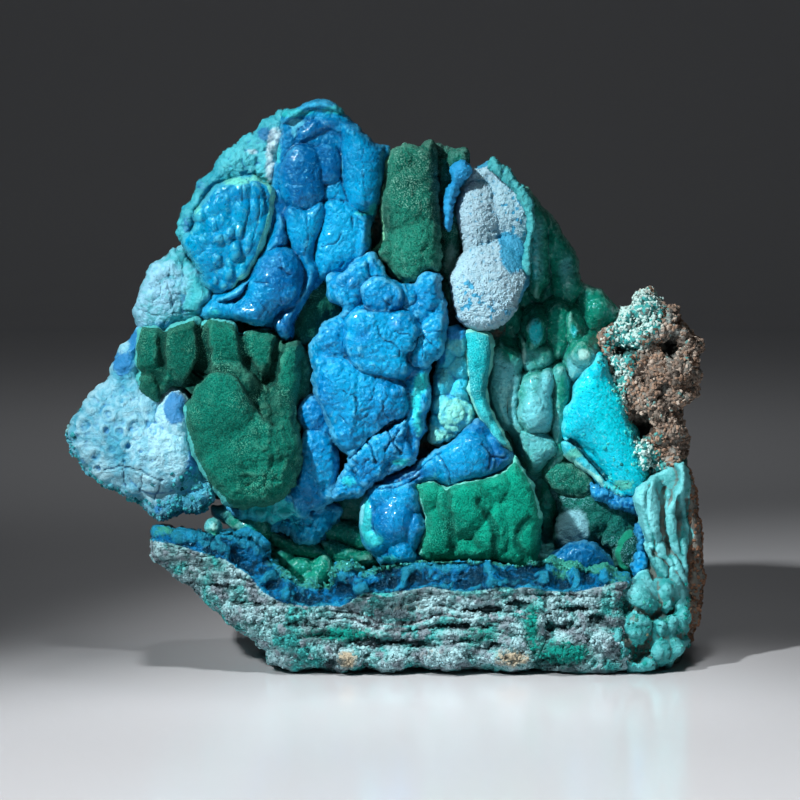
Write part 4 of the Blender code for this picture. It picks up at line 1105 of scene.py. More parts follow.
def pad_front(pad, places):
    """The depth of a pad's front before it rounds off at its outline."""
    spread = np.stack([places[:, 0], places[:, 1], np.full(len(places), pad.base)], axis=1)
    drift = [noise_at(spread, 6.0, seed) * 0.8 + noise_at(spread, 2.5, seed + 1) * 0.25 for seed in (30, 40)]
    moved = places + np.stack(drift, axis=1)
    depths = [np.full(len(places), pad.base)]
    depths += [front_depths(moved, lobe) for lobe in pad.lobes]
    depths = np.stack(depths)
    nearest = depths.min(axis=0)
    return nearest - 0.12 * np.log(np.exp(-(depths - nearest) / 0.12).sum(axis=0))


def outline_cells(outline, step):
    """Places over an outline, how far each is inside it, the cells between them, and a coarser place for each."""
    loop = np.array(smooth_line(outline, 0.8, closed=True))
    flat = np.concatenate([loop, np.zeros((len(loop), 1))], axis=1)
    ragged = [noise_at(flat, 2.6, seed) * 0.5 + noise_at(flat, 1.1, seed + 1) * 0.3 for seed in (50, 52)]
    loop = loop + np.stack(ragged, axis=1)
    low = loop.min(axis=0) - step
    counts = np.ceil((loop.max(axis=0) - low) / step).astype(int) + 2
    across, up = np.meshgrid(*(low[i] + step * np.arange(counts[i]) for i in range(2)), indexing="ij")
    places = np.stack([across.ravel(), up.ravel()], axis=1)
    inside, nearest = inside_by(places, loop, nearest_too=True)
    index = np.arange(len(places)).reshape(counts)
    cells = np.stack([index[:-1, :-1], index[1:, :-1], index[1:, 1:], index[:-1, 1:]], axis=-1).reshape(-1, 4)
    within = inside > 0.35 * step
    cells = cells[within[cells].any(axis=1)]
    places[~within] = nearest[~within]
    inside[~within] = 0.0
    used = np.unique(cells)
    renumbered = np.zeros(len(places), dtype=int)
    renumbered[used] = np.arange(len(used))
    column, row = np.unravel_index(np.arange(len(places)), counts)
    middle = np.minimum(column // 3 * 3 + 1, counts[0] - 1), np.minimum(row // 3 * 3 + 1, counts[1] - 1)
    coarse = np.where(inside > 3.5 * step, np.ravel_multi_index(middle, counts), np.arange(len(places)))
    return places[used], inside[used], renumbered[cells], renumbered[coarse[used]]


# Noise


def hashed(whole, seed):
    """A repeatable number from 0 to 1 for each row of three whole numbers."""
    x, y, z = (whole[..., i].astype(np.int64).astype(np.uint32) for i in range(3))
    mixed = x * np.uint32(0x8DA6B343) ^ y * np.uint32(0xD8163841) ^ z * np.uint32(0xCB1AB31F)
    mixed ^= np.uint32(seed * 0x9E3779B1 & 0xFFFFFFFF)
    for shift, factor in ((16, 0x7FEB352D), (15, 0x846CA68B)):
        mixed = (mixed ^ (mixed >> np.uint32(shift))) * np.uint32(factor)
    return (mixed ^ (mixed >> np.uint32(16))) / 2.0**32


def noise_at(points, size, seed):
    """Smooth noise from -1 to 1 with humps about one size across."""
    scaled = points / size
    whole = np.floor(scaled)
    part = scaled - whole
    smooth = part * part * (3 - 2 * part)
    total = np.zeros(len(points))
    for corner in product((0, 1), repeat=3):
        weight = np.prod(np.where(corner, smooth, 1 - smooth), axis=1)
        total += weight * hashed(whole + corner, seed)
    return total * 2 - 1


def rough_noise(points, size, seed, octaves=4, keep=0.5):
    """Noise with finer and weaker noise on it."""
    shares = [keep**k for k in range(octaves)]
    parts = [noise_at(points, size / 2**k, seed + k) * share for k, share in enumerate(shares)]
    return sum(parts) / sum(shares)


def billow(points, size, seed):
    """Rounded humps about one size across with sharp creases between, from -1 to 1."""
    coarse = 1 - 3 * np.abs(noise_at(points, size, seed))
    return np.clip(coarse + (0.5 - 1.5 * np.abs(noise_at(points, size / 2.3, seed + 1))) * 0.5, -1, 1)


# Marks in the viewer's plane


def line_distance(places, line):
    """How far each place is from an open line of (across, up) points, and the nearest point on it."""
    line = np.array(line, dtype=float)
    least = np.full(len(places), np.inf)
    nearest = np.zeros((len(places), 2))
    for start, end in zip(line, line[1:]):
        along = end - start
        share = np.clip((places - start) @ along / (along @ along), 0, 1)
        foot = start + share[:, None] * along
        gap = np.linalg.norm(places - foot, axis=1)
        closer = gap < least
        least[closer] = gap[closer]
        nearest[closer] = foot[closer]
    return least, nearest


def lines_gap(places, lines):
    """How far each place is from the nearest of several smooth lines."""
    return np.min([line_distance(places, smooth_line(line, 0.8))[0] for line in lines], axis=0)


def inside_by(places, outline, nearest_too=False):
    """How far each place is inside a closed outline, negative outside it."""
    loop = np.array([*outline, outline[0]], dtype=float)
    inside = np.zeros(len(places), dtype=bool)
    for (x0, y0), (x1, y1) in zip(loop, loop[1:]):
        if y0 != y1:
            crosses = (y0 > places[:, 1]) != (y1 > places[:, 1])
            inside ^= crosses & (places[:, 0] < (x1 - x0) * (places[:, 1] - y0) / (y1 - y0) + x0)
    gap, nearest = line_distance(places, loop)
    gap = np.where(inside, 1.0, -1.0) * gap
    return (gap, nearest) if nearest_too else gap


def ease(values, low, high):
    """0 at low, 1 at high and a smooth step between, also where low is the higher."""
    share = np.clip((values - low) / (high - low), 0, 1)
    return share * share * (3 - 2 * share)


def patches(places, spots):
    """The sum of soft round spots (across, up, half width, half height, strength)."""
    total = np.zeros(len(places))
    for across, up, half_width, half_height, strength in spots:
        reach = ((places[:, 0] - across) / half_width) ** 2 + ((places[:, 1] - up) / half_height) ** 2
        total += strength * np.exp(-reach * 1.2)
    return total


# Node trees


class Link:
    """A node's output, with the arithmetic that adds Math nodes."""

    def __init__(self, tree, socket):
        self.tree = tree
        self.socket = socket

    def _math(self, operation, first, second):
        return self.tree.node("ShaderNodeMath", {"operation": operation}, {0: first, 1: second})

    def __add__(self, other):
        return self._math("ADD", self, other)

    def __sub__(self, other):
        return self._math("SUBTRACT", self, other)

    def __rsub__(self, other):
        return self._math("SUBTRACT", other, self)

    def __mul__(self, other):
        return self._math("MULTIPLY", self, other)

    def __truediv__(self, other):
        return self._math("DIVIDE", self, other)

    def __pow__(self, other):
        return self._math("POWER", self, other)

    def least(self, other):
        return self._math("MINIMUM", self, other)

    def most(self, other):
        return self._math("MAXIMUM", self, other)

    __radd__ = __add__
    __rmul__ = __mul__


class Tree:
    """A node tree that is written as expressions."""

    def __init__(self, nodes_and_links):
        self.tree = nodes_and_links

    def node(self, kind, settings=None, inputs=None, out=0):
        """Adds a node, sets it up, fills its sockets and gives one of its outputs."""
        node = self.tree.nodes.new(kind)
        for name, value in (settings or {}).items():
            setattr(node, name, value)
        for key, value in (inputs or {}).items():
            if isinstance(value, Link):
                self.tree.links.new(value.socket, node.inputs[key])
            else:
                node.inputs[key].default_value = value
        return Link(self, node.outputs[out])

    def step(self, value, low, high):
        """A smooth step from 0 at low to 1 at high."""
        return self.node(
            "ShaderNodeMapRange",
            {"interpolation_type": "SMOOTHSTEP"},
            {"Value": value, "From Min": low, "From Max": high},
        )

    def vector(self, operation, first, second):
        return self.node("ShaderNodeVectorMath", {"operation": operation}, {0: first, 1: second})

    def noise(self, where, size, detail=3.0, out=0):
        """Noise with humps about one size across, 0 to 1."""
        inputs = {"Vector": where, "Scale": 1 / size, "Detail": detail, "Roughness": 0.55}
        return self.node("ShaderNodeTexNoise", {}, inputs, out)

    def cells(self, where, size, feature="F1"):
        """Distance in a field of cells: to the nearest middle, or to the edge."""
        return self.node("ShaderNodeTexVoronoi", {"feature": feature}, {"Vector": where, "Scale": 1 / size})


class Finish(Tree):
    """A mineral finish: a material whose nodes are written as expressions."""

    def __init__(self, name):
        self.material = bpy.data.materials.new(name)
        self.material.use_nodes = True
        super().__init__(self.material.node_tree)
        self.shader = self.tree.nodes["Principled BSDF"]
        self.place = self.mark("rest", "Vector")

    def mark(self, name, out="Fac"):
        """One of the marks that a skin carries on its points."""
        return self.node("ShaderNodeAttribute", {"attribute_name": name}, out=out)

    def blend(self, share, first, second):
        """A colour from the first at 0 to the second at 1."""
        colours = [(*c, 1.0) if isinstance(c, tuple) else c for c in (first, second)]
        return self.node(
            "ShaderNodeMix", {"data_type": "RGBA"}, {0: share, 6: colours[0], 7: colours[1]}, out=2
        )

    def bump(self, height, distance, under=None):
        inputs = {"Height": height, "Distance": distance, "Strength": 1.0}
        if under:
            inputs["Normal"] = under
        return self.node("ShaderNodeBump", {}, inputs)

    def set(self, name, value):
        """Sets or links one of the shader's sockets."""
        socket = self.shader.inputs[name]
        if isinstance(value, Link):
            self.tree.links.new(value.socket, socket)
        else:
            socket.default_value = value


# Relief


# Heights and sizes of a skin's relief, in millimetres
Relief = namedtuple(
    "Relief",
    "warp pillow_size pillow_height pebble_size pebble_height crack_size crack_width crack_depth "
    "layer_size layer_height grain_size grain_height",
    defaults=(2.0, 5.0, 0.0, 1.4, 0.0, 4.0, 0.35, 0.0, 3.0, 0.0, 0.8, 0.0),
)


def relief_tree():
    """A tree that moves a skin's points along their normals: pillows, pebbles, cracks, layers and grain."""
    group = bpy.data.node_groups.new("mineral_relief", "GeometryNodeTree")
    group.interface.new_socket("Geometry", in_out="INPUT", socket_type="NodeSocketGeometry")
    group.interface.new_socket("Geometry", in_out="OUTPUT", socket_type="NodeSocketGeometry")
    labels = ["Seed", *[field.replace("_", " ").capitalize() for field in Relief._fields]]
    for label in labels:
        group.interface.new_socket(label, in_out="INPUT", socket_type="NodeSocketFloat")
    group.interface.new_socket("Material", in_out="INPUT", socket_type="NodeSocketMaterial")
    tree = Tree(group)
    source = group.nodes.new("NodeGroupInput")
    value = {label: Link(tree, source.outputs[label]) for label in labels}

    def scaled(vector, scale):
        return tree.node("ShaderNodeVectorMath", {"operation": "SCALE"}, {0: vector, "Scale": scale})

    def mark(name):
        return tree.node("GeometryNodeInputNamedAttribute", {"data_type": "FLOAT"}, {"Name": name})

    def noise(where, size):
        scale = tree.node("ShaderNodeMath", {"operation": "DIVIDE"}, {0: 1.0, 1: size})
        return tree.node("ShaderNodeTexNoise", {}, {"Vector": where, "Scale": scale, "Detail": 3.0})

    def cells(where, size, feature):
        scale = tree.node("ShaderNodeMath", {"operation": "DIVIDE"}, {0: 1.0, 1: size})
        return tree.node("ShaderNodeTexVoronoi", {"feature": feature}, {"Vector": where, "Scale": scale})

    place = scaled(tree.node("GeometryNodeInputPosition"), 1 / MM)
    place = tree.vector("ADD", place, tree.node("ShaderNodeCombineXYZ", {}, {0: value["Seed"]}))
    swirl = tree.node("ShaderNodeTexNoise", {}, {"Vector": place, "Scale": 0.2, "Detail": 2.0}, 1)
    swirl = scaled(tree.vector("SUBTRACT", swirl, (0.5, 0.5, 0.5)), value["Warp"])
    rest = tree.vector("ADD", place, swirl)
    stored = tree.node(
        "GeometryNodeStoreNamedAttribute",
        {"data_type": "FLOAT_VECTOR", "domain": "POINT"},
        {"Geometry": Link(tree, source.outputs["Geometry"]), "Name": "rest", 3: rest},
    )
    pillow = cells(rest, value["Pillow size"], "F1")
    pebble = cells(rest, value["Pebble size"], "F1")
    edge = cells(rest, value["Crack size"], "DISTANCE_TO_EDGE") * value["Crack size"]
    layer = noise(tree.vector("MULTIPLY", rest, (0.12, 0.12, 1.0)), value["Layer size"])
    height = (0.5 - pillow * pillow) * value["Pillow height"] * mark("pillowed")
    height = height + (0.5 - pebble * pebble) * value["Pebble height"] * mark("pebbled")
    height = height - tree.step(edge / value["Crack width"], 1.0, 0.0) * value["Crack depth"] * mark("cracked")
    height = height + (layer - 0.5) * 2 * value["Layer height"] * mark("layered")
    height = height + (noise(rest, value["Grain size"]) - 0.5) * 2 * value["Grain height"]
    offset = scaled(tree.node("GeometryNodeInputNormal"), height * MM)
    moved = tree.node("GeometryNodeSetPosition", {}, {"Geometry": stored, "Offset": offset})
    real = tree.node("GeometryNodeRealizeInstances", {}, {"Geometry": moved})
    material = Link(tree, source.outputs["Material"])
    dressed = tree.node("GeometryNodeSetMaterial", {}, {"Geometry": real, "Material": material})
    target = group.nodes.new("NodeGroupOutput")
    group.links.new(dressed.socket, target.inputs[0])
    return group


def crumb_tree():
    """A tree that strews small angular grains over a skin wherever it is marked crumbly."""
    group = bpy.data.node_groups.new("mineral_crumbs", "GeometryNodeTree")
    group.interface.new_socket("Geometry", in_out="OUTPUT", socket_type="NodeSocketGeometry")
    sockets = (("Geometry", "Geometry"), ("Per square millimetre", "Float"), ("Grain size", "Float"),
               ("Seed", "Int"), ("Material", "Material"))
    for label, kind in sockets:
        group.interface.new_socket(label, in_out="INPUT", socket_type="NodeSocket" + kind)
    tree = Tree(group)
    source = group.nodes.new("NodeGroupInput")
    value = {label: Link(tree, source.outputs[label]) for label, _ in sockets}

    def chance(low, high, kind, seed, out):
        settings = {"data_type": kind}
        return tree.node("FunctionNodeRandomValue", settings, {"Min": low, "Max": high, "Seed": seed}, out)

    crumbly = tree.node("GeometryNodeInputNamedAttribute", {"data_type": "FLOAT"}, {"Name": "crumbly"})
    spots = tree.node(
        "GeometryNodeDistributePointsOnFaces", {},
        {"Mesh": value["Geometry"], "Density": crumbly * value["Per square millimetre"] / MM**2, "Seed": value["Seed"]},
    )
    height = tree.node("ShaderNodeSeparateXYZ", {}, {0: tree.node("GeometryNodeInputPosition")}, 2)
    low = tree.node("ShaderNodeMath", {"operation": "LESS_THAN"}, {0: height, 1: value["Grain size"] * MM})
    spots = tree.node("GeometryNodeDeleteGeometry", {"domain": "POINT"}, {"Geometry": spots, "Selection": low})
    radius = value["Grain size"] * (MM / 2)
    grain = tree.node("GeometryNodeMeshIcoSphere", {}, {"Radius": radius, "Subdivisions": 1})
    turn = chance((0, 0, 0), (6.28, 6.28, 6.28), "FLOAT_VECTOR", 1, 0)
    grow_by = chance((0.3, 0.3, 0.3), (1.5, 1.5, 1.5), "FLOAT_VECTOR", 2, 0)
    grains = tree.node(
        "GeometryNodeInstanceOnPoints", {}, {"Points": spots, "Instance": grain, "Rotation": turn, "Scale": grow_by},
    )
    toned = tree.node(
        "GeometryNodeStoreNamedAttribute", {"data_type": "FLOAT", "domain": "INSTANCE"},
        {"Geometry": grains, "Name": "tone", "Value": chance(0.0, 1.0, "FLOAT", 3, 1)},
    )
    real = tree.node("GeometryNodeRealizeInstances", {}, {"Geometry": toned})
    dressed = tree.node("GeometryNodeSetMaterial", {}, {"Geometry": real, "Material": value["Material"]})
    target = group.nodes.new("NodeGroupOutput")
    group.links.new(dressed.socket, target.inputs[0])
    return group


def strew(name, skin, finish, per_square, size, seed, smooth=False):
    """Strews crumbs over a skin's crumbly parts, as one plain mesh of their own."""
    piece = bpy.data.objects.new(name, skin.piece.data)
    bpy.context.collection.objects.link(piece)
    nodes = piece.modifiers.new("Crumbs", "NODES")
    nodes.node_group = bpy.data.node_groups.get("mineral_crumbs") or crumb_tree()
    set_inputs(nodes, {
        "Per square millimetre": per_square, "Grain size": size, "Seed": seed, "Material": finish.material,
    })
    graph = bpy.context.evaluated_depsgraph_get()
    data = bpy.data.meshes.new_from_object(piece.evaluated_get(graph))
    piece.modifiers.clear()
    piece.data = data
    if smooth:
        data.shade_smooth()
    else:
        data.shade_flat()
    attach(piece, "root")
    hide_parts(ROCK)


def set_inputs(modifier, values):
    """Sets a node modifier's inputs by their sockets' identifiers."""
    for item in modifier.node_group.interface.items_tree:
        if item.in_out == "INPUT" and item.name in values:
            modifier[item.identifier] = values[item.name]


class Skin:
    """One closed mineral skin, its points in millimetres and the marks that its finish reads."""

    def __init__(self, name, shapes, grain):
        clay = Clay()
        for shape in shapes:
            if isinstance(shape, Pad):
                clay.pad(shape, grain / MM)
            elif isinstance(shape, Lobe):
                clay.lobe(shape)
            elif isinstance(shape, Ridge):
                clay.ridge(shape)
            else:
                clay.body(shape)
        data = bpy.data.meshes.new(name)
        data.from_pydata((np.concatenate(clay.points) * MM).tolist(), [], clay.faces)
        if isinstance(shapes[0], Pad) and shapes[0].thick < 18:
            ring_sides(data, 3.4 * MM, 3)
        self.piece = bpy.data.objects.new(name, data)
        bpy.context.collection.objects.link(self.piece)
        data.shade_smooth()
        self.lobes = [shape for shape in shapes if isinstance(shape, Lobe)]
        self.lobes += [lobe for shape in shapes if isinstance(shape, Pad) for lobe in shape.lobes]
        self.read()

    def read(self):
        """Reads the points from the mesh, and sets every mark to its usual value."""
        count = len(self.piece.data.vertices)
        flat = np.empty(count * 3, dtype=np.float32)
        self.piece.data.vertices.foreach_get("co", flat)
        self.points = flat.reshape(count, 3).astype(float) / MM
        self.places = front_view(self.points)
        self.marks = dict.fromkeys(("pillowed", "pebbled", "layered"), 1.0)
        self.marks.update(cracked=0.0, stain=0.0, rim=0.0, crack=0.0, deep=0.0, crumbly=0.0)
        if self.lobes:
            depths = np.stack([front_depths(self.places, lobe) for lobe in self.lobes], axis=1)
            weights = np.exp(-(depths - depths.min(axis=1)[:, None]) / 0.5)
            tones = np.array([(0.37 + 0.618 * i) % 1.0 for i in range(len(self.lobes))])
            self.marks["deep"] = (weights @ tones / weights.sum(axis=1) - 0.5) * 0.5

    def work_in(self):
        """Works the modifiers into a mesh of its own."""
        graph = bpy.context.evaluated_depsgraph_get()
        data = bpy.data.meshes.new_from_object(self.piece.evaluated_get(graph))
        self.piece.modifiers.clear()
        old, self.piece.data = self.piece.data, data
        bpy.data.meshes.remove(old)

    def fuse(self, grain, soften):
        """Melts overlapping shapes into one skin and sways it."""
        melt = self.piece.modifiers.new("Fuse", "REMESH")
        melt.mode = "VOXEL"
        melt.voxel_size = grain
        melt.use_smooth_shade = True
        if soften:
            soft = self.piece.modifiers.new("Soften", "SMOOTH")
            soft.factor = 0.5
            soft.iterations = soften
        self.work_in()
        self.read()
        drift = [noise_at(self.points, 9.0, 70 + i) + 0.4 * noise_at(self.points, 4.0, 80 + i) for i in range(3)]
        self.move(np.stack(drift, axis=1) * 0.8)

    def normals(self):
        flat = np.empty(len(self.points) * 3, dtype=np.float32)
        self.piece.data.vertex_normals.foreach_get("vector", flat)
        return flat.reshape(-1, 3).astype(float)

    def move(self, offsets):
        self.points = self.points + offsets
        self.piece.data.vertices.foreach_set("co", (self.points * MM).astype(np.float32).ravel())
        self.piece.data.update()

    def raise_by(self, heights):
        """Moves the points out along their normals, in millimetres."""
        self.move(self.normals() * heights[:, None])

    def push_by(self, amounts):
        """Moves the points of the front back from the viewer, in millimetres."""
        facing = ease(-self.normals()[:, 1], 0.0, 0.35)
        self.move(np.array([0.0, 1.0, -0.1]) * (amounts * facing)[:, None])

    def carve(self, lines, width, depth, mark="crack"):
        """Cuts grooves of this width and depth along lines, and marks them; a negative depth raises them."""
        waver = [noise_at(self.points, 1.6, seed) * 0.35 for seed in (95, 96)]
        gap = lines_gap(self.places + np.stack(waver, axis=1), lines)
        self.raise_by(-depth * ease(gap, width, 0.0))
        self.marks[mark] = np.maximum(self.marks[mark], ease(gap, width * 0.75, width * 0.3))

    def relieve(self, relief, seed, finish):
        """Gives the skin its fine relief."""
        for name, values in self.marks.items():
            self.write_mark(name, values)
        nodes = self.piece.modifiers.new("Relief", "NODES")
        nodes.node_group = bpy.data.node_groups.get("mineral_relief") or relief_tree()
        labels = {field.replace("_", " ").capitalize(): value for field, value in relief._asdict().items()}
        set_inputs(nodes, {"Seed": float(seed * 37), "Material": finish.material, **labels})
        self.work_in()
        flat = np.empty(len(self.points) * 3, dtype=np.float32)
        self.piece.data.vertices.foreach_get("co", flat)
        self.points = flat.reshape(-1, 3).astype(float) / MM

    def write_mark(self, name, values):
        data = self.piece.data
        mark = data.attributes.get(name) or data.attributes.new(name, "FLOAT", "POINT")
        values = np.broadcast_to(np.asarray(values, dtype=np.float32), len(self.points))
        mark.data.foreach_set("value", np.ascontiguousarray(values))

    def averaged(self, values, rounds):
        """Values that are smoothed over the mesh's edges."""
        pairs = np.empty(len(self.piece.data.edges) * 2, dtype=np.int32)
        self.piece.data.edges.foreach_get("vertices", pairs)
        first, second = pairs.reshape(-1, 2).T
        count = len(self.points)
        links = np.bincount(pairs, minlength=count)
        columns = []
        for column in values.reshape(count, -1).T:
            for _ in range(rounds):
                total = np.bincount(first, column[second], count) + np.bincount(second, column[first], count)
                column = 0.5 * column + 0.5 * total / links
            columns.append(column)
        return np.stack(columns, axis=1).reshape(values.shape)

    def finish(self, finish, slot):
        """Marks the crests and creases, then gives the skin its finish and its place in the frame."""
        self.move(np.array([0.0, 0.0, 1.0]) * np.clip(-self.points[:, 2:], 0, None))
        normals = self.normals()
        # Crest and swell say how far each point stands out of its neighbours; the finishes paint shade into creases and
        # hollows from them.
        for name, rounds in (("crest", 5), ("swell", 40)):
            lift = ((self.points - self.averaged(self.points, rounds)) * normals).sum(axis=1)
            self.write_mark(name, self.averaged(lift, 1))
        self.piece.data.materials.clear()
        self.piece.data.materials.append(finish.material)
        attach(self.piece, "root")
        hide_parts(ROCK)


def grow(name, shapes, relief, seed, finish, slot, mark_by=None, grain=None, soften=3):
    """Grows one skin: its shapes, the marks that are placed on it, its relief and then its finish."""
    grain = grain or bpy.context.scene.specimen.skin_grain
    skin = Skin(name, shapes, grain)
    if not isinstance(shapes[0], Pad):
        skin.fuse(grain, soften)
    if mark_by:
        mark_by(skin)
    skin.marks["crumbly"] = skin.marks["crumbly"] * ease(skin.points[:, 2], 1.6, 2.6)
    skin.relieve(relief, seed, finish)
    skin.finish(finish, slot)
    return skin


# Finishes


def glazed(name, bright, deep, pale, stain, dark, roughness=0.34):
    """Chrysocolla: deep where it is thick, paler on its crests, dark in its cracks, with painted shade in its creases
    and hollows.
    """
    finish = Finish(name)
    place = finish.place
    cloud = finish.noise(place, 8.0, 5.0)
    fine = finish.noise(place, 1.4, 4.0)
    share = finish.mark("deep") + (cloud - 0.5) * 1.5 + (fine - 0.5) * 0.5 + 0.4
    colour = finish.blend(finish.step(share, 0.0, 1.0), bright, deep)
    colour = finish.blend(finish.step(finish.mark("stain") + (fine - 0.5) * 0.7, 0.35, 0.7), colour, stain)
    # Painted shade: the hollows of the skin are darkened toward the deep colour.
    swell = finish.step(finish.mark("swell"), 0.0, -0.9)
    colour = finish.blend(swell * 0.6, colour, deep)
    crest = finish.step(finish.mark("crest") + (fine - 0.5) * 0.12, 0.05, 0.2)
    colour = finish.blend(crest * 0.22, colour, pale)
    # Painted shade: the creases are darkened toward the dark colour.
    crease_shade = finish.step(finish.mark("crest"), -0.05, -0.24)
    colour = finish.blend(crease_shade * 0.75, colour, dark)
    gap = finish.cells(place, 3.2, "DISTANCE_TO_EDGE") * 3.2
    crackle = finish.mark("cracked").most(0.3)
    crack = (finish.step(gap, 0.14, 0.0) * crackle).most(finish.mark("crack"))
    colour = finish.blend(crack * 0.8, colour, dark)
    speck = finish.noise(place, 0.7, 4.0)
    colour = finish.blend(finish.step(speck, 0.56, 0.7) * 0.25, colour, pale)
    colour = finish.blend(finish.step(speck, 0.45, 0.3) * 0.6, colour, dark)
    rim = finish.step(finish.mark("rim") + (fine - 0.5) * 0.6, 0.35, 0.7)
    finish.set("Base Color", finish.blend(rim * 0.65, colour, pale))
    rough = (finish.noise(place, 2.6, 3.0) - 0.5) * 0.5 + (roughness + crack * 0.3 + rim * 0.25 - finish.mark("deep") * 0.1)
    finish.set("Roughness", rough.most(0.12))
    finish.set("Specular IOR Level", 0.4)
    finish.set("Specular Tint", (0.2, 0.75, 1.0, 1.0))
    finish.set("Coat Weight", 0.14)
    finish.set("Coat Roughness", 0.1)
    plates = finish.step(gap, 0.0, 0.4) * crackle
    finish.set("Normal", finish.bump(fine * 0.5 + speck * 0.4 + plates * 0.2, 0.0005))
    return finish


def velvet(name, green, dark, frost_and_sheen, pale):
    """Malachite velvet: tiny fibres that catch the light on their tips, painted as highlights, with a painted sheen on
    its crests and painted shade in its creases and hollows.
    """
    finish = Finish(name)
    place = finish.place
    cloud = finish.noise(place, 6.0, 4.0)
    fibre = finish.noise(place, 0.35, 4.0)
    tuft = finish.noise(place, 1.1, 3.0)
    share = finish.mark("deep") + (cloud - 0.5) * 1.2 + (tuft - 0.5) * 0.7 + 0.4
    colour = finish.blend(finish.step(share, 0.0, 1.1) * 0.8, green, dark)
    # Painted shade: the hollows of the skin darken toward the dark green.
    colour = finish.blend(finish.step(finish.mark("swell"), 0.0, -1.0) * 0.75, colour, dark)
    # Painted sheen on the crests, then painted shade in the creases.
    colour = finish.blend(finish.step(finish.mark("crest"), 0.03, 0.18) * 0.22, colour, frost_and_sheen)
    colour = finish.blend(finish.step(finish.mark("crest"), -0.03, -0.2) * 0.8, colour, dark)
    colour = finish.blend(finish.step(tuft, 0.46, 0.34) * 0.5, colour, dark)
    # Painted highlights: fibre tips that catch the light, thicker in some patches than in others.
    fibre_glint_spread = finish.step(finish.noise(place, 9.0, 3.0), 0.48, 0.64)
    colour = finish.blend(finish.step(fibre, 0.52, 0.62) * (fibre_glint_spread * 0.55 + 0.12), colour, frost_and_sheen)
    colour = finish.blend(finish.step(fibre, 0.48, 0.38) * 0.6, colour, dark)
    colour = finish.blend(finish.step(finish.mark("stain") + (tuft - 0.5) * 0.5, 0.3, 0.8), colour, frost_and_sheen)
    colour = finish.blend(finish.mark("crack") * 0.7, colour, dark)
    rim = finish.step(finish.mark("rim") + (tuft - 0.5) * 0.6, 0.35, 0.7)
    finish.set("Base Color", finish.blend(rim, colour, pale))
    finish.set("Roughness", 0.9)
    finish.set("Specular IOR Level", 0.15)
    finish.set("Specular Tint", (0.3, 0.9, 0.7, 1.0))
    finish.set("Sheen Weight", 0.04)
    finish.set("Sheen Roughness", 0.5)
    finish.set("Sheen Tint", (0.5, 0.85, 0.7, 1.0))
    finish.set("Normal", finish.bump(fibre * 0.5 + tuft * 0.5, 0.0011))
    return finish


def crusted(name, pale, stain, deep, dot_size, roughness=0.6, edge=None):
    """Chalky crust: pale on its grains, stained between them."""
    finish = Finish(name)
    place = finish.place
    cloud = finish.noise(place, 6.0, 5.0)
    fine = finish.noise(place, 0.8, 4.0)
    share = finish.mark("deep") + (cloud - 0.5) * 1.6 + (fine - 0.5) * 0.6 + 0.35
    colour = finish.blend(finish.step(share, 0.0, 1.0), pale, stain)
    hollow = finish.step(finish.mark("crest") + (fine - 0.5) * 0.1, 0.0, -0.16)
    colour = finish.blend(hollow * 0.75, colour, deep)
    crest = finish.step(finish.mark("crest") + (fine - 0.5) * 0.1, 0.04, 0.2)
    colour = finish.blend(crest * (0.6 - finish.mark("deep").least(1.0) * 0.45), colour, pale)
    dots = finish.cells(place, dot_size)
    colour = finish.blend(finish.step(dots, 0.5, 0.8) * 0.45, colour, stain)
    colour = finish.blend(finish.step(finish.mark("stain") + (fine - 0.5) * 0.8, 0.35, 0.7) * 0.9, colour, deep)
    colour = finish.blend(finish.mark("crack") * 0.6, colour, srgb(14, 56, 66))
    rim = finish.step(finish.mark("rim") + (fine - 0.5) * 0.6, 0.35, 0.7)
    finish.set("Base Color", finish.blend(rim * 0.85, colour, edge or pale))
    finish.set("Roughness", roughness)
    finish.set("Normal", finish.bump(fine * 0.6 + finish.noise(place, 0.4, 3.0) * 0.4, 0.0007))
    return finish


def rocky(name, grey, brown, stain, dark):
    """Granular host rock with stained patches, and painted shade in its creases and pits."""
    finish = Finish(name)
    place = finish.place
    cloud = finish.noise(place, 7.0, 6.0)
    spot = finish.noise(place, 1.3, 5.0)
    colour = finish.blend(finish.step(cloud + finish.mark("deep"), 0.38, 0.62), grey, brown)
    stained = finish.noise(place, 4.0, 5.0) + finish.mark("stain") - 0.3
    colour = finish.blend(finish.step(stained + (spot - 0.5) * 0.5, 0.45, 0.6), colour, stain)
    colour = finish.blend(finish.step(spot, 0.5, 0.36) * 0.8, colour, dark)
    # Painted shade in the creases.
    colour = finish.blend(finish.step(finish.mark("crest"), 0.0, -0.25) * 0.8, colour, dark)
    colour = finish.blend(finish.step(spot, 0.62, 0.74) * 0.5, colour, srgb(190, 192, 180))
    # Dark in the cracks, and painted shade in the pits, which the same mark carries.
    colour = finish.blend(finish.mark("crack") * 0.85, colour, dark)
    finish.set("Base Color", colour)
    finish.set("Roughness", 0.85)
    finish.set("Normal", finish.bump(spot, 0.0014))
    return finish


def crumb_finish(name, tones, stain, dark):
    """Loose grains, each in one of a few tones, stained where the skin below is stained."""
    finish = Finish(name)
    tone = finish.mark("tone") * 0.25 + (finish.noise(finish.place, 3.2, 4.0) - 0.32) * 1.9
    colour = tones[0]
    for i, other in enumerate(tones[1:], 1):
        share = finish.step(tone, i / len(tones) - 0.01, i / len(tones) + 0.01)
        colour = finish.blend(share, colour, other)
    fine = finish.noise(finish.place, 1.2, 4.0)
    colour = finish.blend(finish.step(finish.mark("stain") + (fine - 0.5) + (tone - 0.5) * 0.5, 0.3, 0.6), colour, stain)
    finish.set("Base Color", finish.blend(finish.step(fine, 0.47, 0.36) * 0.7, colour, dark))
    finish.set("Roughness", 0.9)
    finish.set("Specular IOR Level", 0.15)
    return finish
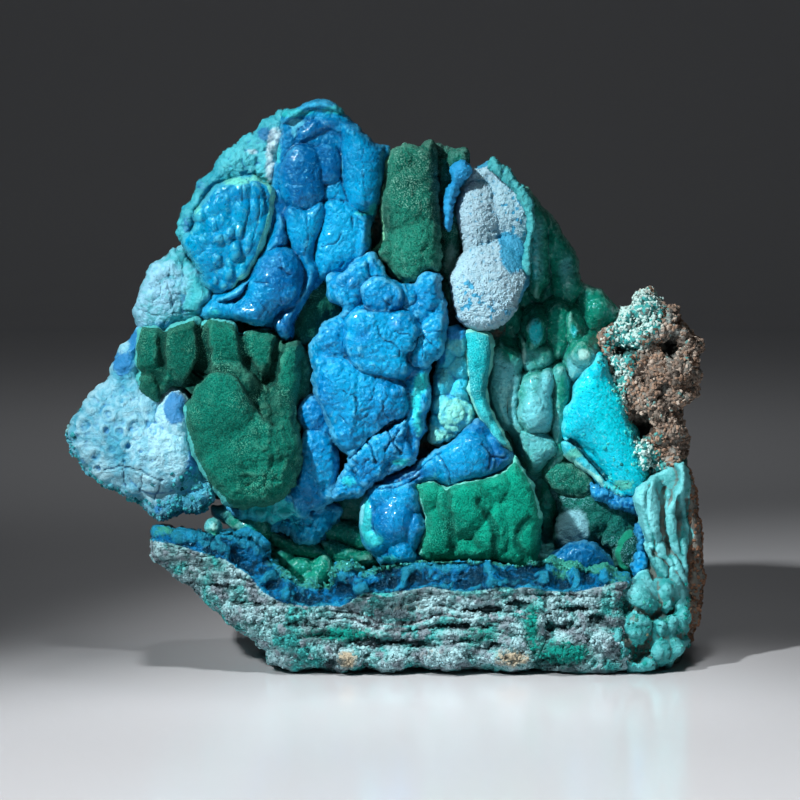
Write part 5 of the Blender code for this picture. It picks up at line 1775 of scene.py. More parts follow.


# Marks placed one by one


def mark_crown(skin):
    """Deep glassy lobes, pale worn ones, the shadowed drapes and the grey-green crest."""
    places = skin.places
    skin.marks["deep"] = 0.5 * skin.marks["deep"] + patches(places, [
        (-21.4, 120.5, 6, 8, 0.75), (-15.2, 124.5, 3.6, 5, 0.7), (-28.2, 93, 7, 8.5, 0.35), (-21, 96, 3, 6, 0.3),
        (-25, 84.5, 4, 6, 0.6), (-6.2, 122, 6, 12, -0.3), (-20.8, 109, 4, 5, -0.2), (-10.5, 104, 7, 9, -0.25),
        (-26.4, 108, 1.6, 6, 0.5), (-18, 134.2, 7, 1.6, 0.9), (-18, 131.6, 8, 2.4, 0.4), (-13.4, 117, 3, 3, -0.3), (-27, 95.4, 2.4, 2, 0.6),
    ])
    skin.marks["stain"] = patches(places, [
        (-24.5, 136.8, 6, 1.6, 0.9), (-12, 137.5, 6, 1.6, 0.9), (-27.5, 127, 1.2, 5, 0.7), (-43.6, 87, 3, 2.4, 0.6),
        (-3.4, 113, 2, 1.6, 0.9), (-6.4, 111.6, 3, 0.9, 0.8), (-38.6, 93.4, 3, 0.8, 0.6),
    ])
    skin.marks["rim"] = patches(places, [
        (-20.6, 104.6, 3, 3, 0.45), (-22.8, 134.4, 3, 1.2, 0.9), (-23.4, 132, 1.4, 3, 0.6), (-11.4, 123, 0.8, 8, 0.5),
        (-29.6, 92.4, 4, 3, 0.15),
    ])
    skin.marks["cracked"] = patches(places, [(-28, 92, 6, 6, 0.5), (-10, 104, 5, 8, 0.35), (-6, 122, 5, 9, 0.3)])
    skin.carve([
        [(-33.4, 94.6), (-29.6, 94)], [(-16.4, 103.4), (-13, 104.2), (-11.6, 107)], [(-12, 98.4), (-10.8, 99.6)],
        [(-27.4, 98), (-24.4, 96.4)], [(-11.8, 115.2), (-11, 114.6)], [(-9, 110.6), (-8.8, 108)],
    ], 0.34, 0.6)
    skin.carve([
        [(-5.6, 131), (-6.4, 125), (-5.8, 117)], [(-27.2, 101.6), (-26.6, 97)], [(-33, 90.6), (-29.4, 86.4)],
        [(-20.4, 111), (-20, 106), (-21.2, 101)],
    ], 0.22, 0.2)


def mark_disc(skin):
    """Overlapping sheets at the upper right, pillowed at the left and below."""
    places = skin.places
    skin.marks["deep"] = 0.4 * skin.marks["deep"] + patches(places, [
        (-42, 103, 8, 8, 0.15), (-33, 112, 4, 8, 0.1), (-40, 116, 6, 3, 0.3),
    ])
    edge = inside_by(places, DISC.outline)
    right = ease(places[:, 0] - (places[:, 1] - 106) * 0.2, -39, -34)
    skin.marks["rim"] = ease(edge, 1.0, 0.5) * right
    skin.marks["stain"] = patches(places, [(-38, 119.5, 5, 1.4, 0.9), (-47.4, 112.6, 1.4, 3, 0.6)]) + ease(edge, 1.4, 0.9) * right
    skin.carve([[(-36.4, 118.4), (-36.2, 114.4)], [(-32, 116), (-32.4, 110), (-34, 105)], [(-34.4, 113), (-36, 107)]], 0.3, 0.4)


def mark_rough_crown(skin):
    places = skin.places
    skin.marks["deep"] += patches(places, [(-44, 121, 4, 4, 0.3), (-36, 126, 5, 4, -0.3)])
    skin.marks["stain"] = patches(places, [
        (-30.6, 131.4, 2.6, 2.2, 1.0), (-50.4, 109, 1.5, 4, 0.6), (-46.6, 118.4, 2, 2, 0.6), (-28.2, 124, 1.2, 4, 0.7),
    ])
    skin.marks["rim"] = patches(places, [
        (-28.4, 129.4, 2.2, 4.6, 1.0), (-29.2, 122, 1.8, 5, 0.8), (-34, 127, 3, 1.4, 0.6), (-36, 122.6, 5, 1.4, 0.4),
    ])


def mark_lumps(skin):
    places = skin.places
    skin.marks["deep"] += patches(places, [(-46.4, 92, 3.4, 6, 0.8), (-52, 101, 5, 2.6, 0.7), (-57, 92, 5, 6, -0.4)])
    skin.marks["stain"] = patches(places, [(-56, 84, 8, 1.4, 0.7), (-46, 87.4, 3, 1.6, 0.7)])
    skin.carve([
        [(-62, 87.6), (-57, 86.4), (-50, 87.2), (-45.6, 89)], [(-51.6, 99.6), (-51, 94), (-51.6, 88.6)],
        [(-58.6, 97), (-57, 92.6), (-59, 89)], [(-54.4, 98.6), (-55, 93), (-53.6, 88)],
    ], 0.24, 0.3)
    skin.raise_by(billow(skin.points, 5.0, 55) * 0.5)


def mark_plate(skin):
    """Ring-shaped pits, blue patches and the blocky lower band."""
    places = skin.places
    lift = np.zeros(len(places))
    for across, up, radius in PLATE_PITS:
        share = np.hypot(places[:, 0] - across, places[:, 1] - up) / radius
        lift += 0.42 * np.exp(-(((share - 1.0) / 0.25) ** 2)) - 0.26 * ease(share, 0.95, 0.4)
    skin.raise_by(lift)
    skin.raise_by(billow(skin.points, 4.5, 57) * 0.35)
    skin.marks["rim"] = np.clip(lift, 0, 1)
    skin.marks["deep"] += np.clip(-lift, 0, 1) * 0.1 + patches(places, [
        (-66, 73, 4, 6, 0.8), (-62.5, 81, 1.6, 3.5, 1.0), (-57, 51, 5, 5, -0.25), (-66, 50, 5, 4, 0.4), (-76, 60, 4, 5, 0.3),
        (-47, 47, 3, 6, 0.5),
    ])
    skin.marks["stain"] = patches(places, [
        (-53.3, 63, 2.6, 4.2, 1.6), (-66.4, 74, 2.6, 3.4, 1.2), (-63.3, 79.6, 2, 5, 0.9), (-49, 55, 1.4, 8, 0.8),
        (-50, 48, 2.6, 4, 0.5), (-57.5, 38, 1.6, 1.6, 0.8), (-78, 56, 1.4, 3, 0.5), (-76, 50, 2, 1.6, 0.5),
    ])
    skin.carve([
        [(-71, 47.6), (-66, 48.4), (-61, 47), (-56.4, 44.6)], [(-66.4, 47.6), (-65.8, 43.4)],
        [(-61.6, 46.6), (-61.8, 42)], [(-57, 44), (-58.4, 40)],
    ], 0.35, 0.5)
    skin.marks["crumbly"] = patches(places, [(-48, 42.4, 6, 4.6, 0.8), (-54, 38.4, 5, 2.4, 0.7), (-45.6, 50, 1.6, 6, 0.6)])
    skin.marks["crumbly"] += ease(inside_by(places, PALE_PLATE.outline), 1.4, 0.4) * ease(places[:, 1], 66, 56) * 0.5
    skin.marks["crumbly"] = np.clip(skin.marks["crumbly"], 0, 1) * ease(-skin.normals()[:, 1], -0.2, 0.2)
    skin.marks["deep"] += skin.marks["crumbly"] * 0.9


def mark_velvet_left(skin):
    places = skin.places
    nook = ease(inside_by(places, VELVET_NOOK.outline), -1.4, -0.4)
    # Darker patches. Those in the crease over the big lobe (-33, 67.5), by the groove between the upper lobes (-46.4,
    # 76), at the left of the strap (-27.6, 60) and in the nook under the crown are painted shade; the rest are tones.
    skin.marks["deep"] += patches(places, [
        (-33, 67.5, 4.5, 6, 1.0), (-21, 68, 1.6, 10, 0.7), (-59.5, 68.7, 3, 3, 0.4), (-46.4, 76, 1.6, 7, 0.8),
        (-42, 61, 6, 8, -0.15), (-27.6, 60, 1.6, 12, 0.5),
    ]) + nook * 0.7
    edge = inside_by(places, VELVET_LEFT.outline)
    left = ease(places[:, 0], -36, -42) * ease(np.abs(places[:, 1] - 66), 1, 4)
    skin.marks["rim"] = ease(edge, 0.55, 0.25) * np.maximum(left, ease(places[:, 1], 81, 83)) * (1 - nook)
    skin.marks["pebbled"] = 0.5 + patches(places, [(-30, 50, 7, 12, 0.9), (-31, 74, 6, 6, 0.6), (-36, 42, 9, 4, 0.7)])
    skin.marks["stain"] = patches(places, [
        (-51, 77, 2.6, 6, 0.34), (-44.4, 65.6, 3, 4, 0.36), (-39.6, 79, 3, 4, 0.2), (-24.8, 70, 1.6, 9, 0.28),
        (-33, 74, 4, 4, 0.2),
    ])
    wrinkled = patches(places, [(-30, 50, 9, 13, 1.0), (-32, 74, 5, 5, 0.7), (-36, 42, 10, 4, 0.5)])
    skin.raise_by(billow(skin.points, 3.4, 59) * 0.55 * np.clip(wrinkled, 0, 1))
    # The grooves between the lobes are cut and marked deep, which paints shade into them.
    skin.carve([
        [(-46.6, 85.2), (-46.2, 79.6), (-46, 74.8), (-49.3, 69.4)],
        [(-27, 79), (-29.1, 71.5), (-29.7, 65), (-28.1, 59.6)],
    ], 2.4, 2.2, "deep")
    skin.carve([[(-50.6, 66), (-47.8, 71.2), (-42, 73.4), (-36.6, 70.8), (-33.6, 66), (-30.6, 61)]], 2.0, 1.8, "deep")
    skin.carve([
        [(-36.8, 83.4), (-35.7, 75.9), (-30.8, 69.9)], [(-55.8, 84.6), (-56.8, 78), (-56.4, 71.5)],
        [(-61.6, 72), (-58, 71.4), (-56.6, 66.4)],
    ], 1.9, 1.2, "deep")


def mark_velvet_top(skin):
    places = skin.places
    skin.marks["deep"] += patches(places, [(0, 110, 2, 6, 0.5), (12, 110, 1.6, 12, 0.5), (5, 119, 5, 2, 0.4)])
    edge = inside_by(places, VELVET_TOP.outline)
    skin.marks["rim"] = ease(edge, 0.8, 0.3) * ease(places[:, 0], 2.5, 0.5)
    skin.marks["stain"] = patches(places, [(6, 112, 4, 5, 0.25), (7, 105, 4, 6, 0.25), (9.6, 125, 2, 4, 0.3)])


def mark_green_band(skin):
    places = skin.places
    skin.marks["stain"] = patches(places, [(15.8, 100.4, 2.2, 7, 0.7), (18, 125, 2.4, 2.4, 0.3)])
    skin.marks["rim"] = patches(places, [(17.6, 121.6, 1.6, 2.4, 1.0), (17, 112.6, 1, 4.6, 1.0)])


def mark_centre(skin):
    """The drawn cracks of the blue mass, and where its glaze is thick or broken."""
    places = skin.places
    skin.marks["deep"] = 0.4 * skin.marks["deep"] + patches(places, [
        (-9.6, 93, 3, 7, 0.2), (-14.6, 79, 4, 7, 0.3), (-6, 64, 10, 8, -0.1), (-17, 66, 2.4, 8, 0.7),
        (-2, 79, 8, 8, -0.1), (0, 62, 3, 6, 0.3), (3, 54, 4, 4, 0.6), (7, 54, 2, 4, 0.8), (-12, 43, 4, 4, 0.3),
        (-6, 81, 2.4, 2, 0.7), (2, 84.4, 1.6, 1.4, 0.8), (6, 71.6, 1.6, 1.4, 0.9), (-4, 98.6, 1.4, 1.4, 0.7),
        (-4, 48, 9, 5, 0.5), (9, 78, 4, 5, -0.3),
    ])
    skin.marks["stain"] = patches(places, [
        (8.4, 69.6, 2.4, 3.4, 0.9), (6.8, 64, 2, 4, 0.8), (7.6, 58, 2, 4, 0.6), (13, 80, 1.4, 6, 0.4),
        (-10, 44.6, 4, 3, 0.6), (3, 49.4, 4, 1.4, 0.7), (-13.4, 86.4, 1.4, 1.4, 0.8),
    ])
    skin.marks["rim"] = patches(places, [(7.4, 86.6, 2.8, 2, 0.5), (-7, 78, 2, 1.6, 0.5), (3, 88, 2, 2, 0.35)])
    skin.marks["cracked"] = patches(places, [
        (9.6, 80, 4, 6, 0.8), (-5, 47.5, 9, 5, 0.9), (-5, 63, 10, 9, 0.55), (3, 55, 4, 4, 0.7), (-1, 79, 6, 6, 0.3),
        (-1, 91, 4, 4, 0.3), (-15, 79, 3, 5, 0.3),
    ])
    skin.raise_by(billow(skin.points, 5.5, 58) * 0.4)
    skin.carve(CENTRE_CRACKS, 0.42, 1.0)
    skin.carve(CENTRE_FINE_CRACKS, 0.24, 0.4)


def mark_crescent(skin):
    places = skin.places
    skin.marks["deep"] += patches(places, [(-17, 52, 4, 8, 0.2), (-21, 46, 3, 6, 0.4)])
    skin.marks["stain"] = patches(places, [(-27, 38, 6, 3, 0.7), (-34, 37, 4, 2, 0.9), (-14, 42, 1.6, 4, 0.5), (-30, 38, 4, 4, 1.0), (-33, 35, 3, 2, 0.8), (-22, 33, 7, 4, 0.45),
    ])
    skin.marks["cracked"] = patches(places, [(-21, 34, 6, 5, 1.0), (-17, 51, 4, 7, 0.4)])
    skin.raise_by(billow(skin.points, 5.0, 56) * 1.1 * ease(places[:, 1], 46, 42))
    skin.marks["deep"] += patches(places, [(-18.4, 61.4, 4, 5, 0.9)])


def mark_white(skin):
    places = skin.places
    edge = inside_by(places, WHITE.outline)
    skin.marks["deep"] += patches(places, [(18, 92, 2, 8, 0.6), (34, 92, 1.6, 8, 0.8), (22, 110, 4, 6, -0.1)])
    skin.marks["stain"] = patches(places, [
        (31.4, 101.4, 3.2, 4.4, 2.0), (29.4, 105.4, 2, 1.6, 1.4), (18.4, 119.6, 2, 1.6, 0.9),
    ])
    skin.marks["stain"] += ease(edge, 1.2, 0.5) * ease(places[:, 0] + (places[:, 1] - 100) * 0.3, 27, 31)
    specks = ease(noise_at(skin.points, 0.9, 98), 0.3, 0.5)
    skin.marks["stain"] += specks * patches(places, [(33, 112, 4, 8, 1.2), (20, 91, 5, 8, 0.9), (28, 86, 8, 4, 0.7), (27, 112, 8, 8, 0.5)])
    skin.marks["pebbled"] = 1.0 - patches(places, [(31.4, 101.4, 4, 5, 0.8)])
    skin.marks["crumbly"] = ease(-skin.normals()[:, 1], -0.1, 0.3) * ease(edge, 0.4, 1.4)
    skin.marks["crumbly"] *= 1 - patches(places, [(31.4, 101.4, 3.4, 4.6, 1.4)])


def mark_shell(skin):
    places = skin.places
    skin.marks["stain"] = ease(places[:, 0], 22, 21) * 1.6
    skin.marks["deep"] += ease(places[:, 0], 22, 21)
    skin.marks["rim"] = patches(places, [(30, 121.6, 3, 0.8, 0.7), (36.2, 111, 0.6, 6, 0.7)])


def mark_band(skin):
    places = skin.places
    edge = inside_by(places, BAND.outline)
    skin.marks["rim"] = ease(edge, 0.8, 0.4) * 0.9
    skin.marks["layered"] = 0.0


def mark_broken_band(skin):
    """Blue at the top, cream and green rings below, white bits with dark cracks at the foot."""
    places = skin.places
    skin.marks["stain"] = patches(places, [(17, 81.6, 3, 1.8, 1.4), (13.4, 77, 1.6, 4, 0.9), (12.4, 70, 1.4, 3, 0.5)])
    ring = np.hypot(places[:, 0] - 16.9, (places[:, 1] - 61.3) * 1.05)
    skin.raise_by(0.15 * np.cos(ring * 2 * np.pi / 1.9) * ease(ring, 6.4, 4.6))
    skin.marks["rim"] = ease(np.cos(ring * 2 * np.pi / 1.9), 0.1, 0.7) * ease(ring, 5.2, 3.6) * 0.7
    skin.marks["rim"] += patches(places, [(14, 55.6, 3, 2.4, 0.9)])
    skin.marks["deep"] += ease(places[:, 1], 64, 68) * 0.5 + patches(places, [(11.6, 62, 1.6, 5, 0.6)])
    skin.carve([[(12.4, 57.6), (14.4, 56.4), (16.4, 56.8)], [(14.4, 56.4), (14, 53.8)]], 0.7, 0.6)


def mark_lower_green(skin):
    places = skin.places
    # The lobe low at the left (13.6, 32) gets painted shade and the big middle lobe (19.6, 38.6) a painted highlight;
    # the other patches are tones.
    skin.marks["deep"] += patches(places, [
        (10, 40.6, 3.6, 3.4, 0.5), (13.6, 32, 4, 5, 0.35), (19.6, 38.6, 5, 6, -0.3), (33.4, 38, 4.6, 9, 0.2),
        (22.6, 30, 2, 4, 0.5), (26.6, 42.8, 3, 3, -0.2),
    ])
    # The creases are cut and marked deep, which paints shade into them.
    skin.carve([
        [(14.5, 42.4), (15.3, 35), (16.4, 28)], [(22.7, 39.5), (26.6, 33), (26.6, 26)],
        [(35.4, 35.2), (31.8, 30.4), (34.4, 25.4)],
    ], 1.8, 0.8, "deep")
    edge = inside_by(places, LOWER_GREEN.outline)
    skin.marks["rim"] = ease(edge, 0.9, 0.35) * ease(places[:, 1] - places[:, 0] * 0.3, 22, 26)


def mark_lower_blue(skin):
    places = skin.places
    skin.marks["deep"] += patches(places, [
        (4, 46.6, 7, 2, 0.7), (28, 50, 4, 5, 0.6), (19.4, 50, 5, 5, -0.25), (3, 35, 5, 6, 0.1), (21.6, 57, 3, 3, 0.2),
    ])
    skin.marks["stain"] = patches(places, [
        (-5.6, 36, 1.8, 6, 1.2), (-3, 30, 3, 3, 0.7), (12.6, 46.4, 3, 1.6, 0.5), (0.6, 25.4, 4, 1.4, 0.7),
    ])
    skin.marks["rim"] = patches(places, [(-6.6, 38, 0.8, 5, 1.2)])
    skin.carve([
        [(-3, 44.2), (2, 44.6), (7.4, 47.6), (13, 52.2)], [(-2.4, 43), (3, 43.6), (8, 46)],
        [(23.6, 54), (26, 51.4), (29, 50.4)], [(26, 51.4), (25.4, 48)], [(12.6, 51.6), (15, 47.4), (15.4, 44.4)],
    ], 0.55, 0.6)


def mark_face(skin):
    """Smooth turquoise, a dark crack low on it, and cream and green bands under the crack."""
    places = skin.places
    skin.marks["deep"] += patches(places, [(48, 58, 3, 8, 0.3), (54, 64, 3, 8, -0.2), (56.6, 49, 3, 3, 0.2)])
    skin.marks["deep"] += patches(places, [(51.6, 72, 3, 4, 0.3)])
    skin.carve([[(43, 55), (46, 54.6), (51.4, 49.4), (54.6, 45.2)]], 0.8, 1.1)
    skin.carve([[(43.8, 51.4), (48.6, 48.4), (52, 46), (54.6, 43), (58.4, 40.6), (61.8, 40)]], 0.9, -0.4, "rim")
    skin.marks["stain"] = patches(places, [(46.6, 51.6, 3, 1.6, 1.0), (58.7, 43.7, 3.4, 1.7, 1.0), (49.6, 75, 2, 2, 0.6)])
    skin.marks["crumbly"] = patches(places, [
        (57.8, 69, 2, 5, 1.0), (60.4, 61, 2, 5, 1.0), (63, 53, 2, 5, 1.0), (65.2, 46.4, 3, 3, 1.0),
        (53.4, 75, 2, 2, 0.6), (58, 50, 5, 8, 0.12),
    ])


def mark_inner_grey(skin):
    places = skin.places
    skin.marks["stain"] = patches(places, [(46, 32.6, 3.6, 4.6, 2.2), (51, 37, 5, 5, 0.12)])
    skin.marks["deep"] += patches(places, [(60.9, 27, 2.6, 4, 1.2), (62, 34, 2, 3, 0.7), (52, 31.6, 3, 2.4, 0.5)])
    ring = np.hypot((places[:, 0] - 60.9) / 3.1, (places[:, 1] - 26.8) / 4.5)
    skin.marks["rim"] = ease(abs(ring - 1.0), 0.3, 0.1) * ease(places[:, 0], 62.4, 60)


def mark_pebble(skin):
    skin.marks["stain"] = patches(skin.places, [(41.6, 22, 3.4, 2.2, 1.2), (52, 20.6, 5, 1, 0.8)])
    skin.marks["deep"] += patches(skin.places, [(48, 23.4, 6, 4, 0.25)])


def mark_wall(skin):
    """Pale blades above, rough green lumps below, and a rusty outer edge and back."""
    places = skin.places
    across, up = places.T
    low = ease(up, 18, 12)
    along = across + up * 0.2 + noise_at(skin.points, 6.0, 91) * 0.8
    stripe = ease(np.sin(along * 2 * np.pi / 1.7), 0.0, 0.9) * (1 - low)
    skin.raise_by(rough_noise(skin.points, 6.0, 93, 4, 0.55) * 1.6 * low)
    skin.marks["rim"] = stripe * ease(across, 75.0, 73.6) * 0.35 + patches(places, [(55.6, 3, 4, 3, 0.9), (65, 38, 2.4, 6, 0.7)])
    skin.marks["deep"] = 0.6 * skin.marks["deep"] + low * 0.75 + patches(places, [
        (69.4, 18, 2.4, 4, 0.5), (68.6, 24, 2, 4, 0.4), (73, 30, 2, 8, 0.2), (55.6, 3, 4, 3, -0.8), (60.6, 12, 3, 4, -0.5), (68, 12, 3, 4, -0.3),
    ])
    behind = ease(skin.normals()[:, 1], -0.35, 0.05) * ease(skin.points[:, 1], -31, -26) * ease(across, 73, 76)
    skin.marks["stain"] = np.maximum(ease(across + noise_at(skin.points, 4.0, 92) * 1.2, 74.8, 76.2), behind)
    skin.marks["stain"] += patches(places, [(61.4, 10.4, 1.4, 1.8, 0.6), (58, 13, 1.6, 1.6, 0.6), (60, 2, 1.4, 1, 0.5)])
    skin.marks["pebbled"] = 0.2 + low
    skin.raise_by((rough_noise(skin.points, 1.8, 94, 3, 0.6) * 0.5 - billow(skin.points, 6.0, 54) * 0.9) * low)
    skin.carve([
        [(65, 44), (64.4, 36), (66.3, 30), (67, 24)], [(69.2, 43), (68.4, 35.4), (70.2, 28), (71.8, 23.4)],
        [(72.6, 41), (73, 32), (73.6, 26)], [(63.4, 28), (65, 24.4), (66.6, 20.4)], [(75, 40), (75.6, 30), (75.6, 20)],
    ], 0.9, 0.9, "deep")
    skin.marks["crumbly"] = np.clip(skin.marks["stain"] * 0.8 + low * 0.2, 0, 1)


def mark_matrix(skin):
    places = skin.places
    lumps = rough_noise(skin.points, 6.0, 61, 5, 0.65)
    skin.raise_by(lumps * 4.0 - 0.8)
    skin.marks["stain"] = patches(places, [
        (60.6, 85, 7.6, 8, 1.0), (58, 72, 4, 6, 0.65), (62, 51, 6, 7, 0.9), (70, 45, 5, 4, 0.7), (66, 89, 4, 4, 0.5),
        (57, 62, 2.4, 6, 0.8), (74, 78, 2, 5, 0.25),
    ])
    skin.marks["deep"] = patches(places, [(63, 58.4, 2.8, 4, 0.6), (68, 71, 6, 6, 0.12), (66, 92, 4, 3, -0.2)])
    pits = patches(places, [(59.8, 77.2, 3.2, 1.7, 1.2), (71, 78, 2.4, 3.4, 1.3), (63, 58.4, 3, 4, 1.0), (69, 67, 2, 3, 0.6)])
    skin.push_by(np.clip(pits, 0, 1.1) * 5.0)
    # Painted shade: the pits are marked to be painted dark.
    skin.marks["crack"] = np.clip(pits * 1.2 - 0.3, 0, 1)
    skin.marks["crumbly"] = np.clip(1 - pits * 2, 0, 1)


def mark_slab(skin):
    """Slopes the blue crust back, cuts ledges and pits in the broken face below it, and paints shade into the pits."""
    places = skin.places
    across, up = places.T
    line = np.array(CRUST_LINE)
    above = up - np.interp(across, line[:, 0], line[:, 1]) + rough_noise(skin.points, 5.0, 44, 3) * 0.9
    ledge = up + across * 0.02 + rough_noise(skin.points, 12.0, 45, 3) * 2.4
    broken = patches(places, [
        (-38, 12, 22, 12, 1.0), (10, 0, 70, 3.4, 0.8), (54, 8, 16, 12, 0.9), (-10, 3, 14, 5, 0.5), (36, 9, 9, 7, 0.6),
    ])
    laid = np.clip(1 - broken, 0.1, 1)
    steps = noise_at(np.stack([across / 16, 0 * up, ledge / 0.85], axis=1), 1.0, 46) * laid
    steps += 0.6 * noise_at(np.stack([across / 9, 0 * up, ledge / 0.45], axis=1), 1.0, 47) * laid
    steps += rough_noise(skin.points, 3.2, 43, 4, 0.6) * 1.8 * (1 - laid)
    below = ease(above, 1.0, -0.6)
    lumps = rough_noise(skin.points, 6.0, 42, 4, 0.6) * 2.8 * ease(above, 0.0, 1.5)
    rough = rough_noise(skin.points, 5.0, 48, 5, 0.6) * 1.8 + rough_noise(skin.points, 1.6, 51, 3, 0.6) * 0.5
    skin.push_by(lumps + np.clip(above, 0, 12) * 0.6 + below * (steps * 0.9 + rough))
    skin.raise_by(billow(skin.points, 7.0, 53) * 1.5 * ease(above, 0.2, 1.8))
    pits = np.zeros(len(places))
    for x, y, half_width, half_height, depth in SLAB_PITS:
        share = np.hypot((across - x) / half_width, (up - y) / half_height)
        pits = np.maximum(pits, depth * ease(share + rough_noise(skin.points, 3.0, 49, 4, 0.6) * 1.1, 1.2, 0.7))
    skin.push_by(pits * 0.8)
    # Painted shade: the pits are marked to be painted dark.
    skin.marks["crack"] = np.clip(pits / 2.4, 0, 1) * 0.65
    skin.marks["crust"] = ease(above, -0.3, 0.5)
    skin.marks["stripe"] = below * ease(steps, 0.1, 0.7) * patches(places, [(2, 11.4, 18, 5, 1.4), (34, 12, 16, 4, 0.8)])
    skin.marks["dark_layer"] = below * ease(steps, -0.2, -0.8)
    skin.marks["stain"] = patches(places, [
        (43, 21.6, 4, 2, 0.6), (-56, 31.6, 4, 1.4, 0.7), (-30, 24, 3, 2, 0.4), (14, 20, 3, 2, 0.4), (58, 20, 5, 3, 0.6),
    ])
    upper_edge = ease(inside_by(places, SLAB.outline), 1.6, 0.8) * ease(above, 2.0, 3.5) * ease(across, -30, -26)
    skin.marks["stain"] += upper_edge * 0.6
    skin.marks["green"] = below * patches(places, [
        (-12, 6.4, 14, 2.4, 0.7), (44, 1.6, 9, 4, 0.8), (36, 9.4, 2.4, 7, 0.7), (24, 7, 8, 3, 0.4), (52, 12, 6, 5, 0.3), (-36, 9, 8, 4, 0.3), (62, 12, 6, 6, 0.4),
        (20, 4, 10, 3, 0.25), (-48, 22, 6, 4, 0.3),
    ])
    skin.marks["tan"] = below * patches(places, [
        (-10.3, 0, 3, 2.6, 1.0), (31, 0.4, 6, 3, 0.8), (4, 13.2, 12, 1.4, 0.5), (62, 6, 4, 4, 0.5), (55.5, 4, 4.4, 2.4, 0.3),
        (-24, 3, 5, 3, 0.3), (12, 1.6, 8, 2.4, 0.4),
    ])
    skin.marks["layered"] = below * 0.6 * laid
    skin.marks["crumbly"] = below * (1.1 - laid * 0.7) + upper_edge * 0.4
    skin.marks["crumbly"] *= ease(-skin.normals()[:, 1], -0.2, 0.3)
    skin.marks["pebbled"] = 0.3 + below * 0.7


def slab_finish(colours):
    """Grey-green broken layers under a glassy blue crust, with painted shade in their creases and pits."""
    finish = Finish("slab_layers")
    place = finish.place
    fine = finish.noise(place, 1.0, 5.0)
    cloud = finish.noise(place, 7.0, 5.0)
    rock = finish.blend(finish.step(cloud, 0.4, 0.62), colours.rock_grey[:], srgb(56, 156, 154))
    rock = finish.blend(finish.step(finish.noise(place, 4.0, 4.0), 0.5, 0.62), rock, srgb(118, 134, 142))
    rock = finish.blend(finish.step(finish.mark("green") + (fine - 0.5) * 1.1, 0.25, 0.6), rock, srgb(14, 128, 116))
    rock = finish.blend(finish.step(finish.mark("tan") + (fine - 0.5) * 1.0, 0.35, 0.7), rock, srgb(160, 150, 128))
    rock = finish.blend(finish.step(finish.mark("stripe") + (fine - 0.5) * 0.5, 0.3, 0.6) * 0.8, rock, srgb(148, 158, 166))
    rock = finish.blend(finish.step(finish.mark("dark_layer"), 0.1, 0.9) * 0.8, rock, srgb(50, 66, 70))
    rock = finish.blend(finish.step(fine, 0.5, 0.36) * 0.75, rock, srgb(18, 42, 42))
    rock = finish.blend(finish.step(fine, 0.6, 0.74) * 0.25, rock, srgb(160, 196, 200))
    # Painted shade in the creases of the layers.
    rock = finish.blend(finish.step(finish.mark("crest"), 0.05, -0.25) * 0.8, rock, srgb(16, 32, 32))
    # Painted shade in the pits.
    rock = finish.blend(finish.mark("crack") * 0.9, rock, srgb(10, 18, 18))
    blue = finish.blend(finish.step(cloud + (fine - 0.5) * 0.8, 0.36, 0.6), srgb(0, 90, 138), srgb(0, 34, 56))
    blue = finish.blend(finish.step(finish.mark("crest") + (fine - 0.5) * 0.1, 0.04, 0.2) * 0.35, blue, srgb(40, 160, 190))
    # Painted shade in the creases of the crust.
    blue = finish.blend(finish.step(finish.mark("crest"), -0.03, -0.22) * 0.8, blue, srgb(0, 24, 44))
    stained = finish.step(finish.mark("stain") + (fine - 0.5) * 0.8, 0.35, 0.7)
    blue = finish.blend(stained, blue, srgb(46, 128, 112))
    crust = finish.step(finish.mark("crust") + (fine - 0.5) * 0.5, 0.35, 0.65)
    finish.set("Base Color", finish.blend(crust, rock, blue))
    finish.set("Roughness", 0.85 - crust * 0.55)
    finish.set("Specular IOR Level", 0.35)
    finish.set("Specular Tint", (0.25, 0.75, 1.0, 1.0))
    finish.set("Normal", finish.bump(fine, 0.0012))
    return finish


# Operators


class GrowCore(Operator):
    """Grow the rock behind the skins"""

    bl_idname = "specimen.core"
    bl_label = "Host rock"

    def execute(self, context):
        colours = context.scene.specimen
        finish = rocky(
            "host_rock_behind", srgb(112, 122, 114), colours.rock_brown[:], srgb(34, 104, 98), srgb(34, 34, 30)
        )

        def shape(skin):
            skin.raise_by(rough_noise(skin.points, 14.0, 5, 5) * 3.0)
            # A teal stain toward the front, which also stands in for the shade in the gaps between the skins where this
            # rock shows through.
            skin.marks["stain"] = ease(skin.points[:, 1], 6.0, -4.0) * 0.35

        relief = Relief(warp=1.5, pebble_size=2.6, pebble_height=0.5, grain_size=1.6, grain_height=0.5)
        bodies = [UPPER_CORE, FRONT_CORE, MIDDLE_CORE, HOLLOW_BACK, WALL_CORE]
        grow("host_rock", bodies, relief, 1, finish, "host_rock", shape, colours.core_grain, 0)
        return {"FINISHED"}


class GrowSlab(Operator):
    """Grow the layered slab that the specimen stands on"""

    bl_idname = "specimen.slab"
    bl_label = "Layered slab"

    def execute(self, context):
        colours = context.scene.specimen
        relief = Relief(
            warp=1.0, pebble_size=1.8, pebble_height=0.4, layer_size=1.2, layer_height=0.5, pillow_size=4.0,
            pillow_height=0.3, grain_size=1.6, grain_height=0.7,
        )
        slab = SLAB._replace(lobes=SLAB_LOBES)
        finish = slab_finish(colours)
        skin = grow("layered_slab", [slab], relief, 2, finish, "host_rock", mark_slab, colours.slab_grain)
        strew("slab_crumbs", skin, finish, 1.5, 0.84, 6)
        return {"FINISHED"}


